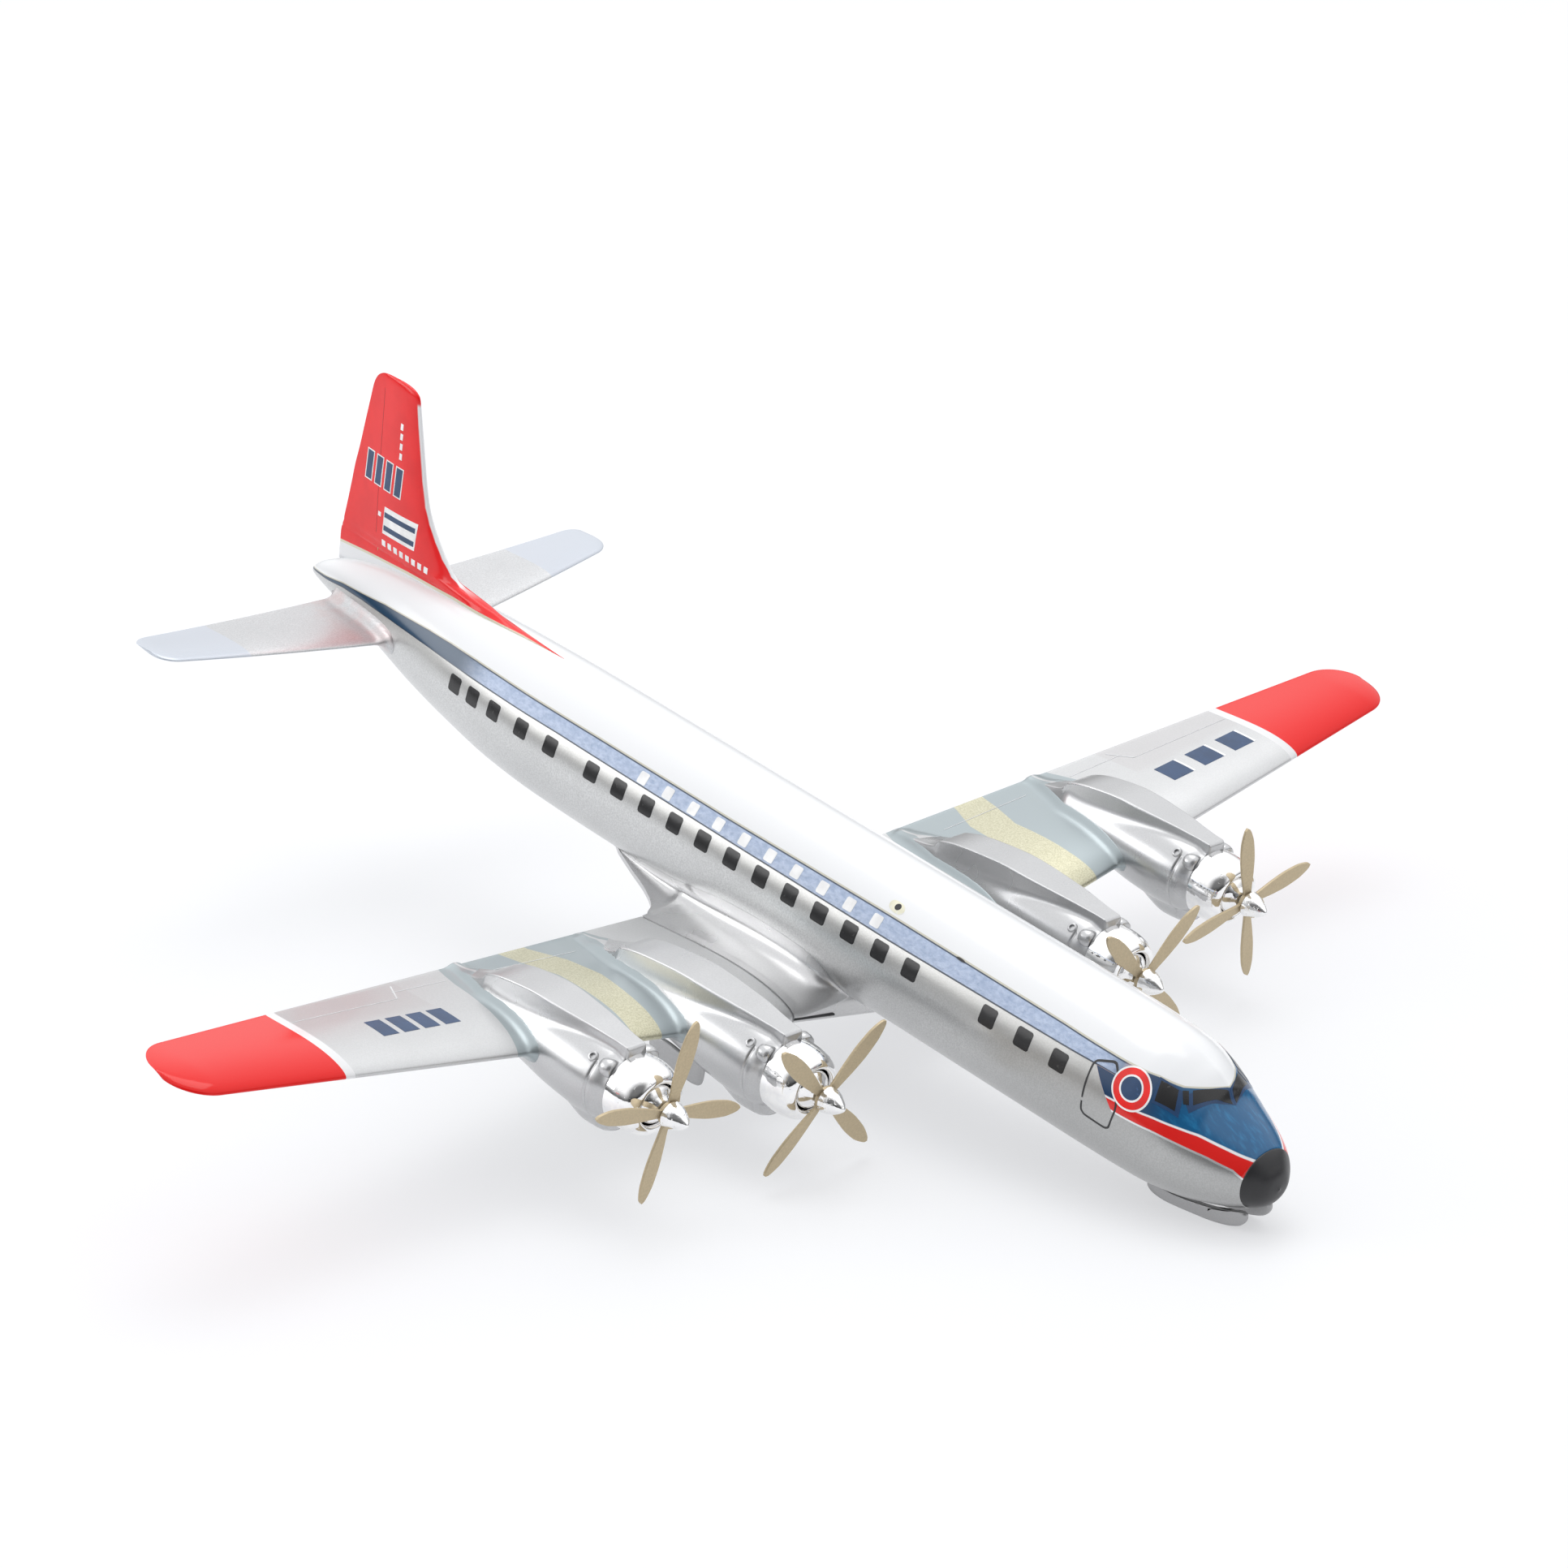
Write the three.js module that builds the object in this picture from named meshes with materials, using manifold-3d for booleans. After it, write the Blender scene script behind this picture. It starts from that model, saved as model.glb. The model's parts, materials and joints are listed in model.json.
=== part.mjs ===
// Desktop airliner model: a four-engined propliner at 1:200, standing nose-down on its main wheels
// and on its open nose-gear doors. Millimetres. Everything is laid out in the aircraft's own frame,
// +X to the left wing tip, +Y aft from the nose tip, +Z up, and the whole group is then pitched and
// dropped onto the table, with the origin under the middle of its box.
import * as THREE from 'three';
import { mergeVertices } from 'three/addons/utils/BufferGeometryUtils.js';
import Module from 'manifold-3d';

const wasm = await Module();
wasm.setup();

// ---- driving dimensions -------------------------------------------------------------------
const NOSE_DOWN = THREE.MathUtils.degToRad(9.67);
const TABLE_DROP = 7.62; // table under the nose tip, measured square to the table
const GAP = 0.3; // space left between touching castings
const PIN_CLEARANCE = 0.08; // radial space round a shaft, pin or dowel
const END_CLEARANCE = 0.2; // space past the end of a pin
const LENGTH = 171;
const RADOME_END = 2.0;
const SHELL_WALL = 1.6;
const WING_JOINT_X = 13.9;
const WING_TIP_X = 94.7;
const TIP_ROUNDING = 5.8;
const TAIL_TIP_X = 35.8;
const PROP_RADIUS = 10.9;
const SHAFT_RADIUS = 0.45;
const GEAR_Y = 78;
const WHEEL_RADIUS = 2.9;
const WHEEL_WIDTH = 1.5;
const WHEEL_OFFSET = 1.75; // wheel centre to leg centre

// Fuselage outline: distance from the nose, top, bottom, half width.
const FUSELAGE = [
  [0, -2.0, -2.1, 0.05], [0.3, -0.55, -3.4, 1.5], [1, 0.5, -4.5, 2.65], [2, 1.6, -5.2, 3.7],
  [4, 2.75, -6.1, 5.1], [6.6, 3.9, -6.95, 6.35], [9.5, 5.15, -7.75, 7.4], [12.4, 6.84, -8.3, 8.1],
  [14.5, 7.86, -8.6, 8.45], [16.6, 8.48, -8.72, 8.65], [20, 8.85, -8.8, 8.8], [26, 9.02, -8.84, 8.89],
  [107, 9.02, -8.76, 8.87], [118, 9.0, -8.62, 8.75], [127, 8.96, -8.2, 8.2], [136, 8.85, -7.05, 7.2],
  [145, 8.45, -5.5, 5.9], [154, 7.55, -3.25, 4.45], [162, 5.8, -1.3, 2.95], [168, 3.3, -0.1, 1.5],
  [170.3, 1.75, 0.4, 0.65], [LENGTH, 1.0, 0.9, 0.08],
];

// The cockpit roof stands up from the outline in a ridge that is highest over the windshield.
const COCKPIT = [[7.6, 0], [8.4, 0.25], [9.1, 1.2], [10.4, 1.35], [12.4, 0.85], [14.5, 0.42], [17, 0.1], [20, 0]];

// Wing planform is two straight edges with dihedral: value at x = 9, then change per mm of span.
const WING_BASE_X = 9;
const LEADING = { y: 61.04, z: -8.3, sweep: 0.0793, rise: 0.1455 };
const TRAILING = { y: 88.78, z: -7.93, sweep: -0.1243, rise: 0.1465 };
const WING_THICKNESS = 0.15;

// Engine stations. y is the propeller's plane, z the thrust line; phase sets how the blades stopped.
const ENGINES = [
  { name: 'outer_left', x: 46.03, y: 47.2, z: -2.35, phase: 12.6, rear: 30.8 },
  { name: 'inner_left', x: 25.46, y: 44.1, z: -5.35, phase: 44.7, rear: 35.6 },
  { name: 'inner_right', x: -25.46, y: 44.1, z: -5.35, phase: 43.5, rear: 35.6 },
  { name: 'outer_right', x: -46.03, y: 47.2, z: -2.35, phase: -13.8, rear: 30.8 },
];

// ---- materials ----------------------------------------------------------------------------
function paint(color, roughness, metalness) {
  return new THREE.MeshStandardMaterial({ color, roughness, metalness });
}
const SILVER = paint(0xc3c5c6, 0.38, 0.7);
const WHITE = paint(0xf1f2f2, 0.18, 0.0);
const RED = paint(0xd5201c, 0.16, 0.0);
const BLACK = paint(0x1c1c1e, 0.4, 0.0);
const CHROME = paint(0xe8e8ea, 0.06, 1.0);
const BRASS = paint(0xb59a72, 0.5, 0.3);
const STEEL = paint(0x9a9da0, 0.3, 1.0);
const RUBBER = paint(0x2a2a2b, 0.8, 0.0);

// ---- shape helpers ------------------------------------------------------------------------
// Monotone cubic through rows of [position, value, value, ...].
function profile(rows) {
  const count = rows[0].length - 1;
  const slopes = rows.map((row, i) => Array.from({ length: count }, (_, k) => {
    if (i === 0 || i === rows.length - 1) return 0;
    const before = (row[k + 1] - rows[i - 1][k + 1]) / (row[0] - rows[i - 1][0]);
    const after = (rows[i + 1][k + 1] - row[k + 1]) / (rows[i + 1][0] - row[0]);
    return before * after <= 0 ? 0 : (2 * before * after) / (before + after);
  }));
  return (at) => {
    let i = 0;
    while (i < rows.length - 2 && at > rows[i + 1][0]) i += 1;
    const [a, b] = [rows[i], rows[i + 1]];
    const h = b[0] - a[0];
    const t = THREE.MathUtils.clamp((at - a[0]) / h, 0, 1);
    const [t2, t3] = [t * t, t * t * t];
    return Array.from({ length: count }, (_, k) => (
      (2 * t3 - 3 * t2 + 1) * a[k + 1] + (t3 - 2 * t2 + t) * h * slopes[i][k]
      + (3 * t2 - 2 * t3) * b[k + 1] + (t3 - t2) * h * slopes[i + 1][k]));
  };
}

// Closed body through rings of equally many points, with a fan over each end.
function loft(rings) {
  const n = rings[0].length;
  const points = rings.flat();
  const ends = [rings[0], rings[rings.length - 1]].map((ring) => (
    ring.reduce((sum, p) => sum.add(p), new THREE.Vector3()).divideScalar(n)));
  points.push(...ends);
  const index = [];
  for (let r = 0; r < rings.length - 1; r += 1) {
    for (let i = 0; i < n; i += 1) {
      const [a, b] = [r * n + i, r * n + ((i + 1) % n)];
      index.push(a, b, a + n, b, b + n, a + n);
    }
  }
  const last = (rings.length - 1) * n;
  for (let i = 0; i < n; i += 1) {
    const j = (i + 1) % n;
    index.push(rings.length * n, j, i);
    index.push(rings.length * n + 1, last + i, last + j);
  }
  const geometry = new THREE.BufferGeometry().setFromPoints(points);
  geometry.setIndex(index);
  return geometry;
}

// A three.js geometry as a manifold solid, whichever way its faces were wound.
function solid(geometry) {
  const bare = new THREE.BufferGeometry();
  bare.setAttribute('position', geometry.getAttribute('position'));
  bare.setIndex(geometry.getIndex());
  const merged = mergeVertices(bare, 1e-4);
  const position = merged.getAttribute('position');
  const source = merged.getIndex().array;
  const corner = [0, 1, 2].map(() => new THREE.Vector3());
  const triangles = [];
  let volume = 0;
  for (let i = 0; i < source.length; i += 3) {
    const [a, b, c] = [source[i], source[i + 1], source[i + 2]];
    if (a === b || b === c || c === a) continue;
    triangles.push([a, b, c]);
    [a, b, c].forEach((v, k) => corner[k].fromBufferAttribute(position, v));
    volume += corner[0].dot(corner[1].clone().cross(corner[2]));
  }
  const wound = volume < 0 ? triangles.map(([a, b, c]) => [a, c, b]) : triangles;
  return new wasm.Manifold(new wasm.Mesh({
    numProp: 3,
    vertProperties: Float32Array.from(position.array),
    triVerts: Uint32Array.from(wound.flat()),
  }));
}

function block(low, high) {
  const size = high.map((v, i) => v - low[i]);
  const middle = high.map((v, i) => (v + low[i]) / 2);
  return solid(new THREE.BoxGeometry(...size).translate(...middle));
}

// Round bar between two points.
function rod(from, to, radius, segments = 12) {
  const [a, b] = [new THREE.Vector3(...from), new THREE.Vector3(...to)];
  const along = b.clone().sub(a);
  const geometry = new THREE.CylinderGeometry(radius, radius, along.length(), segments);
  geometry.applyQuaternion(new THREE.Quaternion().setFromUnitVectors(
    new THREE.Vector3(0, 1, 0), along.clone().normalize()));
  const middle = a.add(b).multiplyScalar(0.5);
  return solid(geometry.translate(middle.x, middle.y, middle.z));
}

// Lathe about the aircraft's fore-and-aft axis through (x, z); outline is [radius, y] pairs.
function turned(outline, x, z, segments = 24) {
  const points = outline.map(([r, y]) => new THREE.Vector2(r, y));
  return solid(new THREE.LatheGeometry(points, segments).translate(x, 0, z));
}

function ellipseRing(y, centre, halfWidth, top, bottom, count) {
  const [middle, half] = [(top + bottom) / 2, (top - bottom) / 2];
  return Array.from({ length: count }, (_, i) => {
    const angle = (2 * Math.PI * i) / count;
    return new THREE.Vector3(centre + halfWidth * Math.sin(angle), y, middle + half * Math.cos(angle));
  });
}

function mirrored(body) {
  return body.scale([-1, 1, 1]);
}

function largest(body) {
  return body.decompose().sort((a, b) => b.volume() - a.volume())[0];
}

const model = new THREE.Group();

function add(name, body, material) {
  const mesh = body.getMesh();
  const geometry = new THREE.BufferGeometry();
  geometry.setAttribute('position', new THREE.BufferAttribute(mesh.vertProperties, mesh.numProp));
  geometry.setIndex(new THREE.BufferAttribute(mesh.triVerts, 1));
  geometry.computeVertexNormals();
  const part = new THREE.Mesh(geometry, material);
  part.name = name;
  model.add(part);
}

// ---- fuselage -----------------------------------------------------------------------------
const fuselageAt = profile(FUSELAGE);
const cockpitAt = profile(COCKPIT);

function fuselageRing(y, grow, count) {
  const [top, bottom, halfWidth] = fuselageAt(y);
  const [ridge] = cockpitAt(THREE.MathUtils.clamp(y, COCKPIT[0][0], COCKPIT[COCKPIT.length - 1][0]));
  const width = Math.max(halfWidth + grow, 0.05);
  return ellipseRing(y, 0, width, top + grow, bottom - grow, count).map((point, i) => {
    const upper = i < count / 4 || i > (3 * count) / 4;
    if (upper) point.z += ridge * (1 - Math.abs(point.x) / width) ** 2;
    return point;
  });
}

function fuselageBody(from, to, grow, count) {
  const between = [...FUSELAGE, ...COCKPIT].map(([y]) => y).filter((y) => y > from && y < to);
  const stations = [...new Set([from, ...between, to])].sort((a, b) => a - b);
  return solid(loft(stations.map((y) => fuselageRing(y, grow, count))));
}

const FUSELAGE_GROWN = fuselageBody(1, LENGTH + 1, GAP, 24);
const CABIN = { front: 9.5, rear: 158 }; // hollow inside the shell
const TAIL_PIN = { y: 153.5, z: 0.88, radius: 0.4, reach: 7 };
const FIN_PINS = { front: 151, rear: 158 };
const FIN_PIN = { radius: 0.4, up: 3.5, down: 1.7, hole: 2 };
const REGISTER_PINS = { front: 30, rear: 120 };
const REGISTER_PIN = { radius: 0.45, reach: 1.4, hole: 1.6 };

function tailPin(radius) {
  return rod([-TAIL_PIN.reach, TAIL_PIN.y, TAIL_PIN.z], [TAIL_PIN.reach, TAIL_PIN.y, TAIL_PIN.z], radius);
}

function finPin(y, radius, down) {
  const top = fuselageAt(y)[0];
  return rod([0, y, top - down], [0, y, top + FIN_PIN.up], radius, 8);
}

// Short pin across the seam in the shell's upper rim.
function registerPin(y, radius, reach) {
  const z = fuselageAt(y)[0] - SHELL_WALL / 2;
  return rod([-reach, y, z], [reach, y, z], radius, 8);
}

function addFuselage() {
  const outside = fuselageBody(RADOME_END + GAP, LENGTH, 0, 24);
  const inside = fuselageBody(CABIN.front, CABIN.rear, -SHELL_WALL, 12);
  let shell = outside.subtract(inside).subtract(tailPin(TAIL_PIN.radius + PIN_CLEARANCE));
  Object.entries(REGISTER_PINS).forEach(([place, y]) => {
    shell = shell.subtract(registerPin(y, REGISTER_PIN.radius + PIN_CLEARANCE, REGISTER_PIN.hole));
    add(`fuselage_register_pin_${place}`, registerPin(y, REGISTER_PIN.radius, REGISTER_PIN.reach), BRASS);
  });
  Object.values(FIN_PINS).forEach((y) => {
    shell = shell.subtract(finPin(y, FIN_PIN.radius + PIN_CLEARANCE, FIN_PIN.hole));
  });
  const leftSide = block([GAP / 2, -5, -20], [30, LENGTH + 5, 20]);
  add('fuselage_left_half', largest(shell.intersect(leftSide)), WHITE);
  add('fuselage_right_half', largest(shell.intersect(mirrored(leftSide))), WHITE);
  add('nose_radome', fuselageBody(0, RADOME_END, 0, 24), BLACK);
}

// ---- tail ---------------------------------------------------------------------------------
// Height, leading edge, trailing edge, half thickness.
const FIN = [
  [5.5, 141, 166.3, 1.25], [9.5, 143.4, 165.6, 1.2], [14, 146.7, 164.9, 1.1], [18, 149.2, 164.2, 1.0],
  [30.6, 152.5, 161.8, 0.65], [31.9, 153.6, 160.9, 0.5], [32.5, 155.2, 159.4, 0.3],
];
// Distance aft, ridge top, half width.
const DORSAL = [[118, 8.7, 0.25], [128, 9.25, 0.8], [138, 9.6, 1.1], [146, 12.3, 1.15], [150, 12.3, 1.0]];

// Ring of a streamlined section; place(fraction of chord, signed half thickness) gives each point.
function sectionRing(place, count) {
  return Array.from({ length: 2 * count }, (_, i) => {
    const side = i < count ? 1 : -1;
    const step = i < count ? i : 2 * count - 1 - i;
    const t = (1 - Math.cos((Math.PI * (step + 0.5)) / count)) / 2;
    const shape = 2.6 * Math.sqrt(t) - 1.1 * t - 3.1 * t * t + 1.68 * t * t * t;
    return place(t, side * Math.max(shape, 0.14));
  });
}

function addFin() {
  const finAt = profile(FIN);
  const heights = [5.5, 9.5, 18, 30.6, 31.9, 32.5];
  const blade = solid(loft(heights.map((z) => {
    const [front, rear, half] = finAt(z);
    return sectionRing((t, s) => new THREE.Vector3(s * half, front + (rear - front) * t, z), 7);
  })));
  const dorsalAt = profile(DORSAL);
  const ridge = solid(loft([118, 128, 136, 141, 146, 150].map((y) => {
    const [top, half] = dorsalAt(y);
    return ellipseRing(y, 0, half, top, top - 6, 8);
  })));
  let fin = blade.add(ridge).subtract(FUSELAGE_GROWN);
  Object.entries(FIN_PINS).forEach(([place, y]) => {
    const hole = finPin(y, FIN_PIN.radius + PIN_CLEARANCE, FIN_PIN.hole);
    fin = fin.subtract(hole.translate([0, 0, END_CLEARANCE]));
    add(`fin_locating_pin_${place}`, finPin(y, FIN_PIN.radius, FIN_PIN.down), BRASS);
  });
  add('tail_fin', largest(fin), RED);
}

function addTailplanes() {
  const edge = profile([[2, 147.8, 162.7, 0.75], [24, 151.9, 161.7, 1.7], [33, 153.5, 161.3, 2.35],
    [TAIL_TIP_X, 156, 159.5, 2.5]]);
  const spans = [2, 12, 24, 33, 34.6, TAIL_TIP_X];
  const plane = solid(loft(spans.map((x) => {
    const [front, rear, z] = edge(x);
    const half = 0.05 * (rear - front) + 0.05;
    return sectionRing((t, s) => new THREE.Vector3(x, front + (rear - front) * t, z + s * half), 7);
  })));
  const left = largest(plane.subtract(FUSELAGE_GROWN).subtract(tailPin(TAIL_PIN.radius + PIN_CLEARANCE)));
  add('tailplane_left', left, SILVER);
  add('tailplane_right', mirrored(left), SILVER);
  add('tailplane_joining_pin', tailPin(TAIL_PIN.radius), STEEL);
}

// ---- wing ---------------------------------------------------------------------------------
// Wing section at span station x, its skin moved out by grow.
function wingRing(x, grow, count) {
  const out = x - WING_BASE_X;
  const past = THREE.MathUtils.clamp((x - (WING_TIP_X - TIP_ROUNDING)) / TIP_ROUNDING, 0, 1);
  const rounding = (1 - Math.sqrt(1 - past * past)) * 4.4;
  const front = LEADING.y + LEADING.sweep * out + rounding;
  const rear = TRAILING.y + TRAILING.sweep * out - rounding;
  const half = (WING_THICKNESS / 2) * (rear - front) * (1 - 0.25 * past);
  return sectionRing((t, s) => {
    const z = (LEADING.z + LEADING.rise * out) * (1 - t) + (TRAILING.z + TRAILING.rise * out) * t;
    const camber = 0.012 * (rear - front) * 4 * t * (1 - t);
    return new THREE.Vector3(x, front + (rear - front) * t + grow * (2 * t - 1), z + camber
      + s * half + Math.sign(s) * grow);
  }, count);
}

function wingBody(spans, grow, count) {
  return solid(loft(spans.map((x) => wingRing(x, grow, count))));
}

function wingHeight(x) {
  const out = x - WING_BASE_X;
  return (LEADING.z + LEADING.rise * out + TRAILING.z + TRAILING.rise * out) / 2;
}

const DOWELS = { front: 69, rear: 79 };
const DOWEL = { radius: 0.7, reach: 3.7, hole: 4, lift: 0.3 };

function wingDowel(y, radius, reach) {
  const z = wingHeight(WING_JOINT_X) + DOWEL.lift;
  return rod([WING_JOINT_X - reach, y, z], [WING_JOINT_X + reach, y, z], radius);
}

const DOWEL_HOLES = Object.values(DOWELS)
  .map((y) => wingDowel(y, DOWEL.radius + PIN_CLEARANCE, DOWEL.hole))
  .reduce((a, b) => a.add(b));

function addWings() {
  const spans = [WING_JOINT_X + GAP, 30, 50, 70, WING_TIP_X - TIP_ROUNDING, 91.5, 93.3, 94.3, WING_TIP_X];
  const left = wingBody(spans, 0, 9).subtract(DOWEL_HOLES);
  add('wing_left', left, SILVER);
  add('wing_right', mirrored(left), SILVER);
  Object.entries(DOWELS).forEach(([place, y]) => {
    const dowel = wingDowel(y, DOWEL.radius, DOWEL.reach);
    add(`wing_dowel_left_${place}`, dowel, STEEL);
    add(`wing_dowel_right_${place}`, mirrored(dowel), STEEL);
  });
}

// The belly casting carries the wing roots and their fillets, and cups the fuselage from below.
// Distance aft, half span, fillet height at the fuselage side.
const FAIRING = [
  [60.2, 13.9, -8.0], [61.5, 13.9, -6.3], [64, 13.9, -4.6], [70, 13.9, -3.2], [80, 13.9, -3.2],
  [88.2, 12.4, -4.4], [92.9, 9.4, -5.2], [97, 7.2, -5.8], [101, 5.3, -6.6], [106, 3.6, -7.6],
];

function addCentreSection() {
  const fairingAt = profile(FAIRING);
  const half = 7; // points from the middle to the rim
  const skin = wingBody([9, WING_JOINT_X], 0, 9);
  const rings = [60.6, 61.5, 63.5, 68, 75, 82, 88.2, 92, 97, 105].map((y) => {
    const [rim, side] = fairingAt(y);
    const inWing = THREE.MathUtils.clamp((y - 60.6) / 27.4, 0, 1);
    const thick = 1.9 * Math.sqrt(Math.sin(Math.PI * Math.min(inWing, 0.999)) + 0.02);
    const rimHeight = wingHeight(Math.min(rim, WING_JOINT_X)) + (y > 88 ? 0.08 * (y - 88) : 0);
    const lower = Array.from({ length: half * 2 + 1 }, (_, i) => {
      const x = rim * ((i - half) / half);
      const keel = Math.min(wingHeight(Math.abs(x)) - thick, rimHeight + 0.2);
      return new THREE.Vector3(x, y, Math.abs(i - half) === half ? rimHeight - thick * 0.8 : keel);
    });
    const upper = Array.from({ length: half * 2 + 1 }, (_, i) => {
      const u = (half - i) / half;
      const rise = THREE.MathUtils.clamp((1 - Math.abs(u)) / 0.62, 0, 1);
      const curve = rise * rise * rise;
      return new THREE.Vector3(rim * u, y, rimHeight + thick * 0.8 + curve * (side - rimHeight));
    });
    return [...lower, ...upper];
  });
  const belly = solid(loft(rings)).add(skin).add(mirrored(skin))
    .subtract(FUSELAGE_GROWN)
    .subtract(DOWEL_HOLES)
    .subtract(mirrored(DOWEL_HOLES));
  add('wing_centre_section', largest(belly), SILVER);
}

// ---- engines ------------------------------------------------------------------------------
// All stations are distances aft of the propeller's plane; heights are from the thrust line.
const NACELLE_FRONT = 6.2;
const NACELLE = [ // station, top, bottom, half width
  [NACELLE_FRONT, 4.15, -4.25, 4.2], [8, 4.5, -4.9, 4.75], [11, 4.65, -5.2, 4.9], [16, 4.4, -5.0, 4.65],
  [21, 3.9, -4.35, 4.15], [26, 3.3, -3.7, 3.6], [36, 2.4, -3.0, 2.7],
];
const CHIN = [[6.6, -5.7, 2.3], [8.5, -6.45, 2.6], [11, -6.65, 2.6], [13.5, -6.1, 2.3], [16, -4.7, 1.6]];
const SCOOP = [ // station, top, half width
  [5.9, 5.5, 1.55], [12, 5.45, 1.6], [19, 5.25, 1.7], [24.5, 4.55, 1.8], [30, 3.1, 1.7], [34, 1.4, 1.3],
  [36.8, 0.1, 0.7],
];
const SCOOP_KNEE = 12; // aft of this station the inner engines' scoops are drawn out
const INNER_SCOOP_STRETCH = 1.2;

// The round body alone, its skin moved out by grow.
function nacelleBarrel(engine, grow) {
  const { x, y, z, rear } = engine;
  const barrelAt = profile(NACELLE);
  return solid(loft([NACELLE_FRONT, 8, 11, 16, 21, rear].map((s) => {
    const [top, bottom, halfWidth] = barrelAt(s);
    return ellipseRing(y + s, x, halfWidth + grow, z + top + grow, z + bottom - grow, 18);
  })));
}

function nacelleBody(engine) {
  const { x, y, z, name } = engine;
  const chinAt = profile(CHIN);
  const chin = solid(loft([6.6, 8.5, 11, 13.5, 16].map((s) => {
    const [bottom, halfWidth] = chinAt(s);
    return ellipseRing(y + s, x, halfWidth, z - 2, z + bottom, 12);
  })));
  const scoopAt = profile(SCOOP);
  const stretch = name.startsWith('inner') ? INNER_SCOOP_STRETCH : 1;
  const scoop = solid(loft([5.9, 12, 19, 24.5, 30, 34, 36.8].map((s) => {
    const [top, halfWidth] = scoopAt(s);
    const floor = s < NACELLE_FRONT ? 4.6 : -1.0 + 2.2 * Math.max(0, 1 - (s - 9) / 12);
    const shoulder = top - 0.3;
    const aft = y + Math.min(s, SCOOP_KNEE) + Math.max(s - SCOOP_KNEE, 0) * stretch;
    return [[-halfWidth * 1.35, floor], [-halfWidth, shoulder], [-halfWidth + 0.3, top],
      [halfWidth - 0.3, top], [halfWidth, shoulder], [halfWidth * 1.35, floor]]
      .map(([u, v]) => new THREE.Vector3(x + u, aft, z + Math.min(v, top)));
  })));
  const mouth = block([x - 1.2, y + 5.5, z + 4.75], [x + 1.2, y + 7.4, z + 5.2]);
  const lobes = [-1, 1].map((side) => rod([x + side * 3.05, y + 6.4, z + 3.15],
    [x + side * 3.35, y + 8.6, z + 3.05], 0.95, 8)).reduce((a, b) => a.add(b));
  const pipes = [-1, 1].map((side) => rod([x + side * 2.3, y + 8.5, z + 2.3],
    [x + side * 3.95, y + 8.6, z + 3.95], 0.75, 8)).reduce((a, b) => a.add(b));
  const pipeBores = [-1, 1].map((side) => rod([x + side * 3.1, y + 8.55, z + 3.1],
    [x + side * 4.4, y + 8.65, z + 4.4], 0.42, 8)).reduce((a, b) => a.add(b));
  return nacelleBarrel(engine, 0).add(chin).add(scoop).add(lobes).add(pipes).subtract(mouth).subtract(pipeBores);
}

const WELL = { front: 66, rear: 80.5, half: 1.9, depth: -1.7 };

function shaftRod(engine, radius, from, to) {
  const { x, y, z } = engine;
  return rod([x, y + from, z], [x, y + to, z], radius);
}

function addNacelle(engine, wingGrown) {
  const { x, z, name } = engine;
  let body = nacelleBody(engine)
    .subtract(x > 0 ? wingGrown : mirrored(wingGrown))
    .subtract(shaftRod(engine, SHAFT_RADIUS + PIN_CLEARANCE, 5, 8.4));
  if (name.startsWith('inner')) {
    body = body.subtract(block([x - WELL.half, WELL.front, z - 8], [x + WELL.half, WELL.rear, z + WELL.depth]));
  }
  add(`nacelle_${name}`, largest(body), SILVER);
}

function addEngine(engine) {
  const { x, y, z, name, phase } = engine;
  const cowl = [
    [3.1, y + 1.9], [3.6, y + 2.1], [4.15, y + 2.9], [4.35, y + 4.2], [4.25, y + 5.9],
    [3.75, y + 5.9], [3.75, y + 3.8], [2.85, y + 2.2], [3.1, y + 1.9],
  ];
  add(`cowling_${name}`, turned(cowl, x, z, 20), CHROME);
  const bore = SHAFT_RADIUS + PIN_CLEARANCE;
  const housing = [
    [bore, y + 0.75], [1.2, y + 0.75], [1.4, y + 1.7], [2.4, y + 3], [3.3, y + 4],
    [3.3, y + 5.9], [bore, y + 5.9], [bore, y + 0.75],
  ];
  add(`gear_housing_${name}`, turned(housing, x, z, 16), CHROME);
  add(`propeller_shaft_${name}`, shaftRod(engine, SHAFT_RADIUS, -2.2, 8.1), STEEL);
  add(`propeller_${name}`, propeller().rotate([0, -phase, 0]).translate([x, y, z]), BRASS);
  const spinner = [
    [0, y - 3.3], [0.75, y - 2.6], [1.4, y - 1.6], [1.85, y - 0.5],
    [bore, y - 0.5], [bore, y - 2.4], [0, y - 2.4],
  ];
  add(`spinner_${name}`, turned(spinner, x, z, 16), CHROME);
}

// Four flat paddle blades round a hub disc, in the plane y = 0, with the shaft's hole.
function propeller() {
  const outline = new THREE.Shape();
  outline.moveTo(0, -0.62);
  outline.lineTo(1.2, -0.7);
  outline.bezierCurveTo(3.4, -1.25, 7.2, -1.3, PROP_RADIUS - 0.9, -0.62);
  outline.bezierCurveTo(PROP_RADIUS + 0.1, -0.35, PROP_RADIUS + 0.1, 0.35, PROP_RADIUS - 0.9, 0.62);
  outline.bezierCurveTo(7.2, 1.3, 3.4, 1.25, 1.2, 0.7);
  outline.lineTo(0, 0.62);
  const blade = solid(new THREE.ExtrudeGeometry(outline, { depth: 0.36, bevelEnabled: false, curveSegments: 3 })
    .translate(0, 0, -0.18).rotateX(Math.PI / 2));
  const hub = rod([0, -0.3, 0], [0, 0.3, 0], 1.35, 16);
  const hole = rod([0, -1, 0], [0, 1, 0], SHAFT_RADIUS + PIN_CLEARANCE);
  return [0, 90, 180, 270].map((turn) => blade.rotate([0, turn, 0]))
    .reduce((a, b) => a.add(b), hub).subtract(hole);
}

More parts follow.
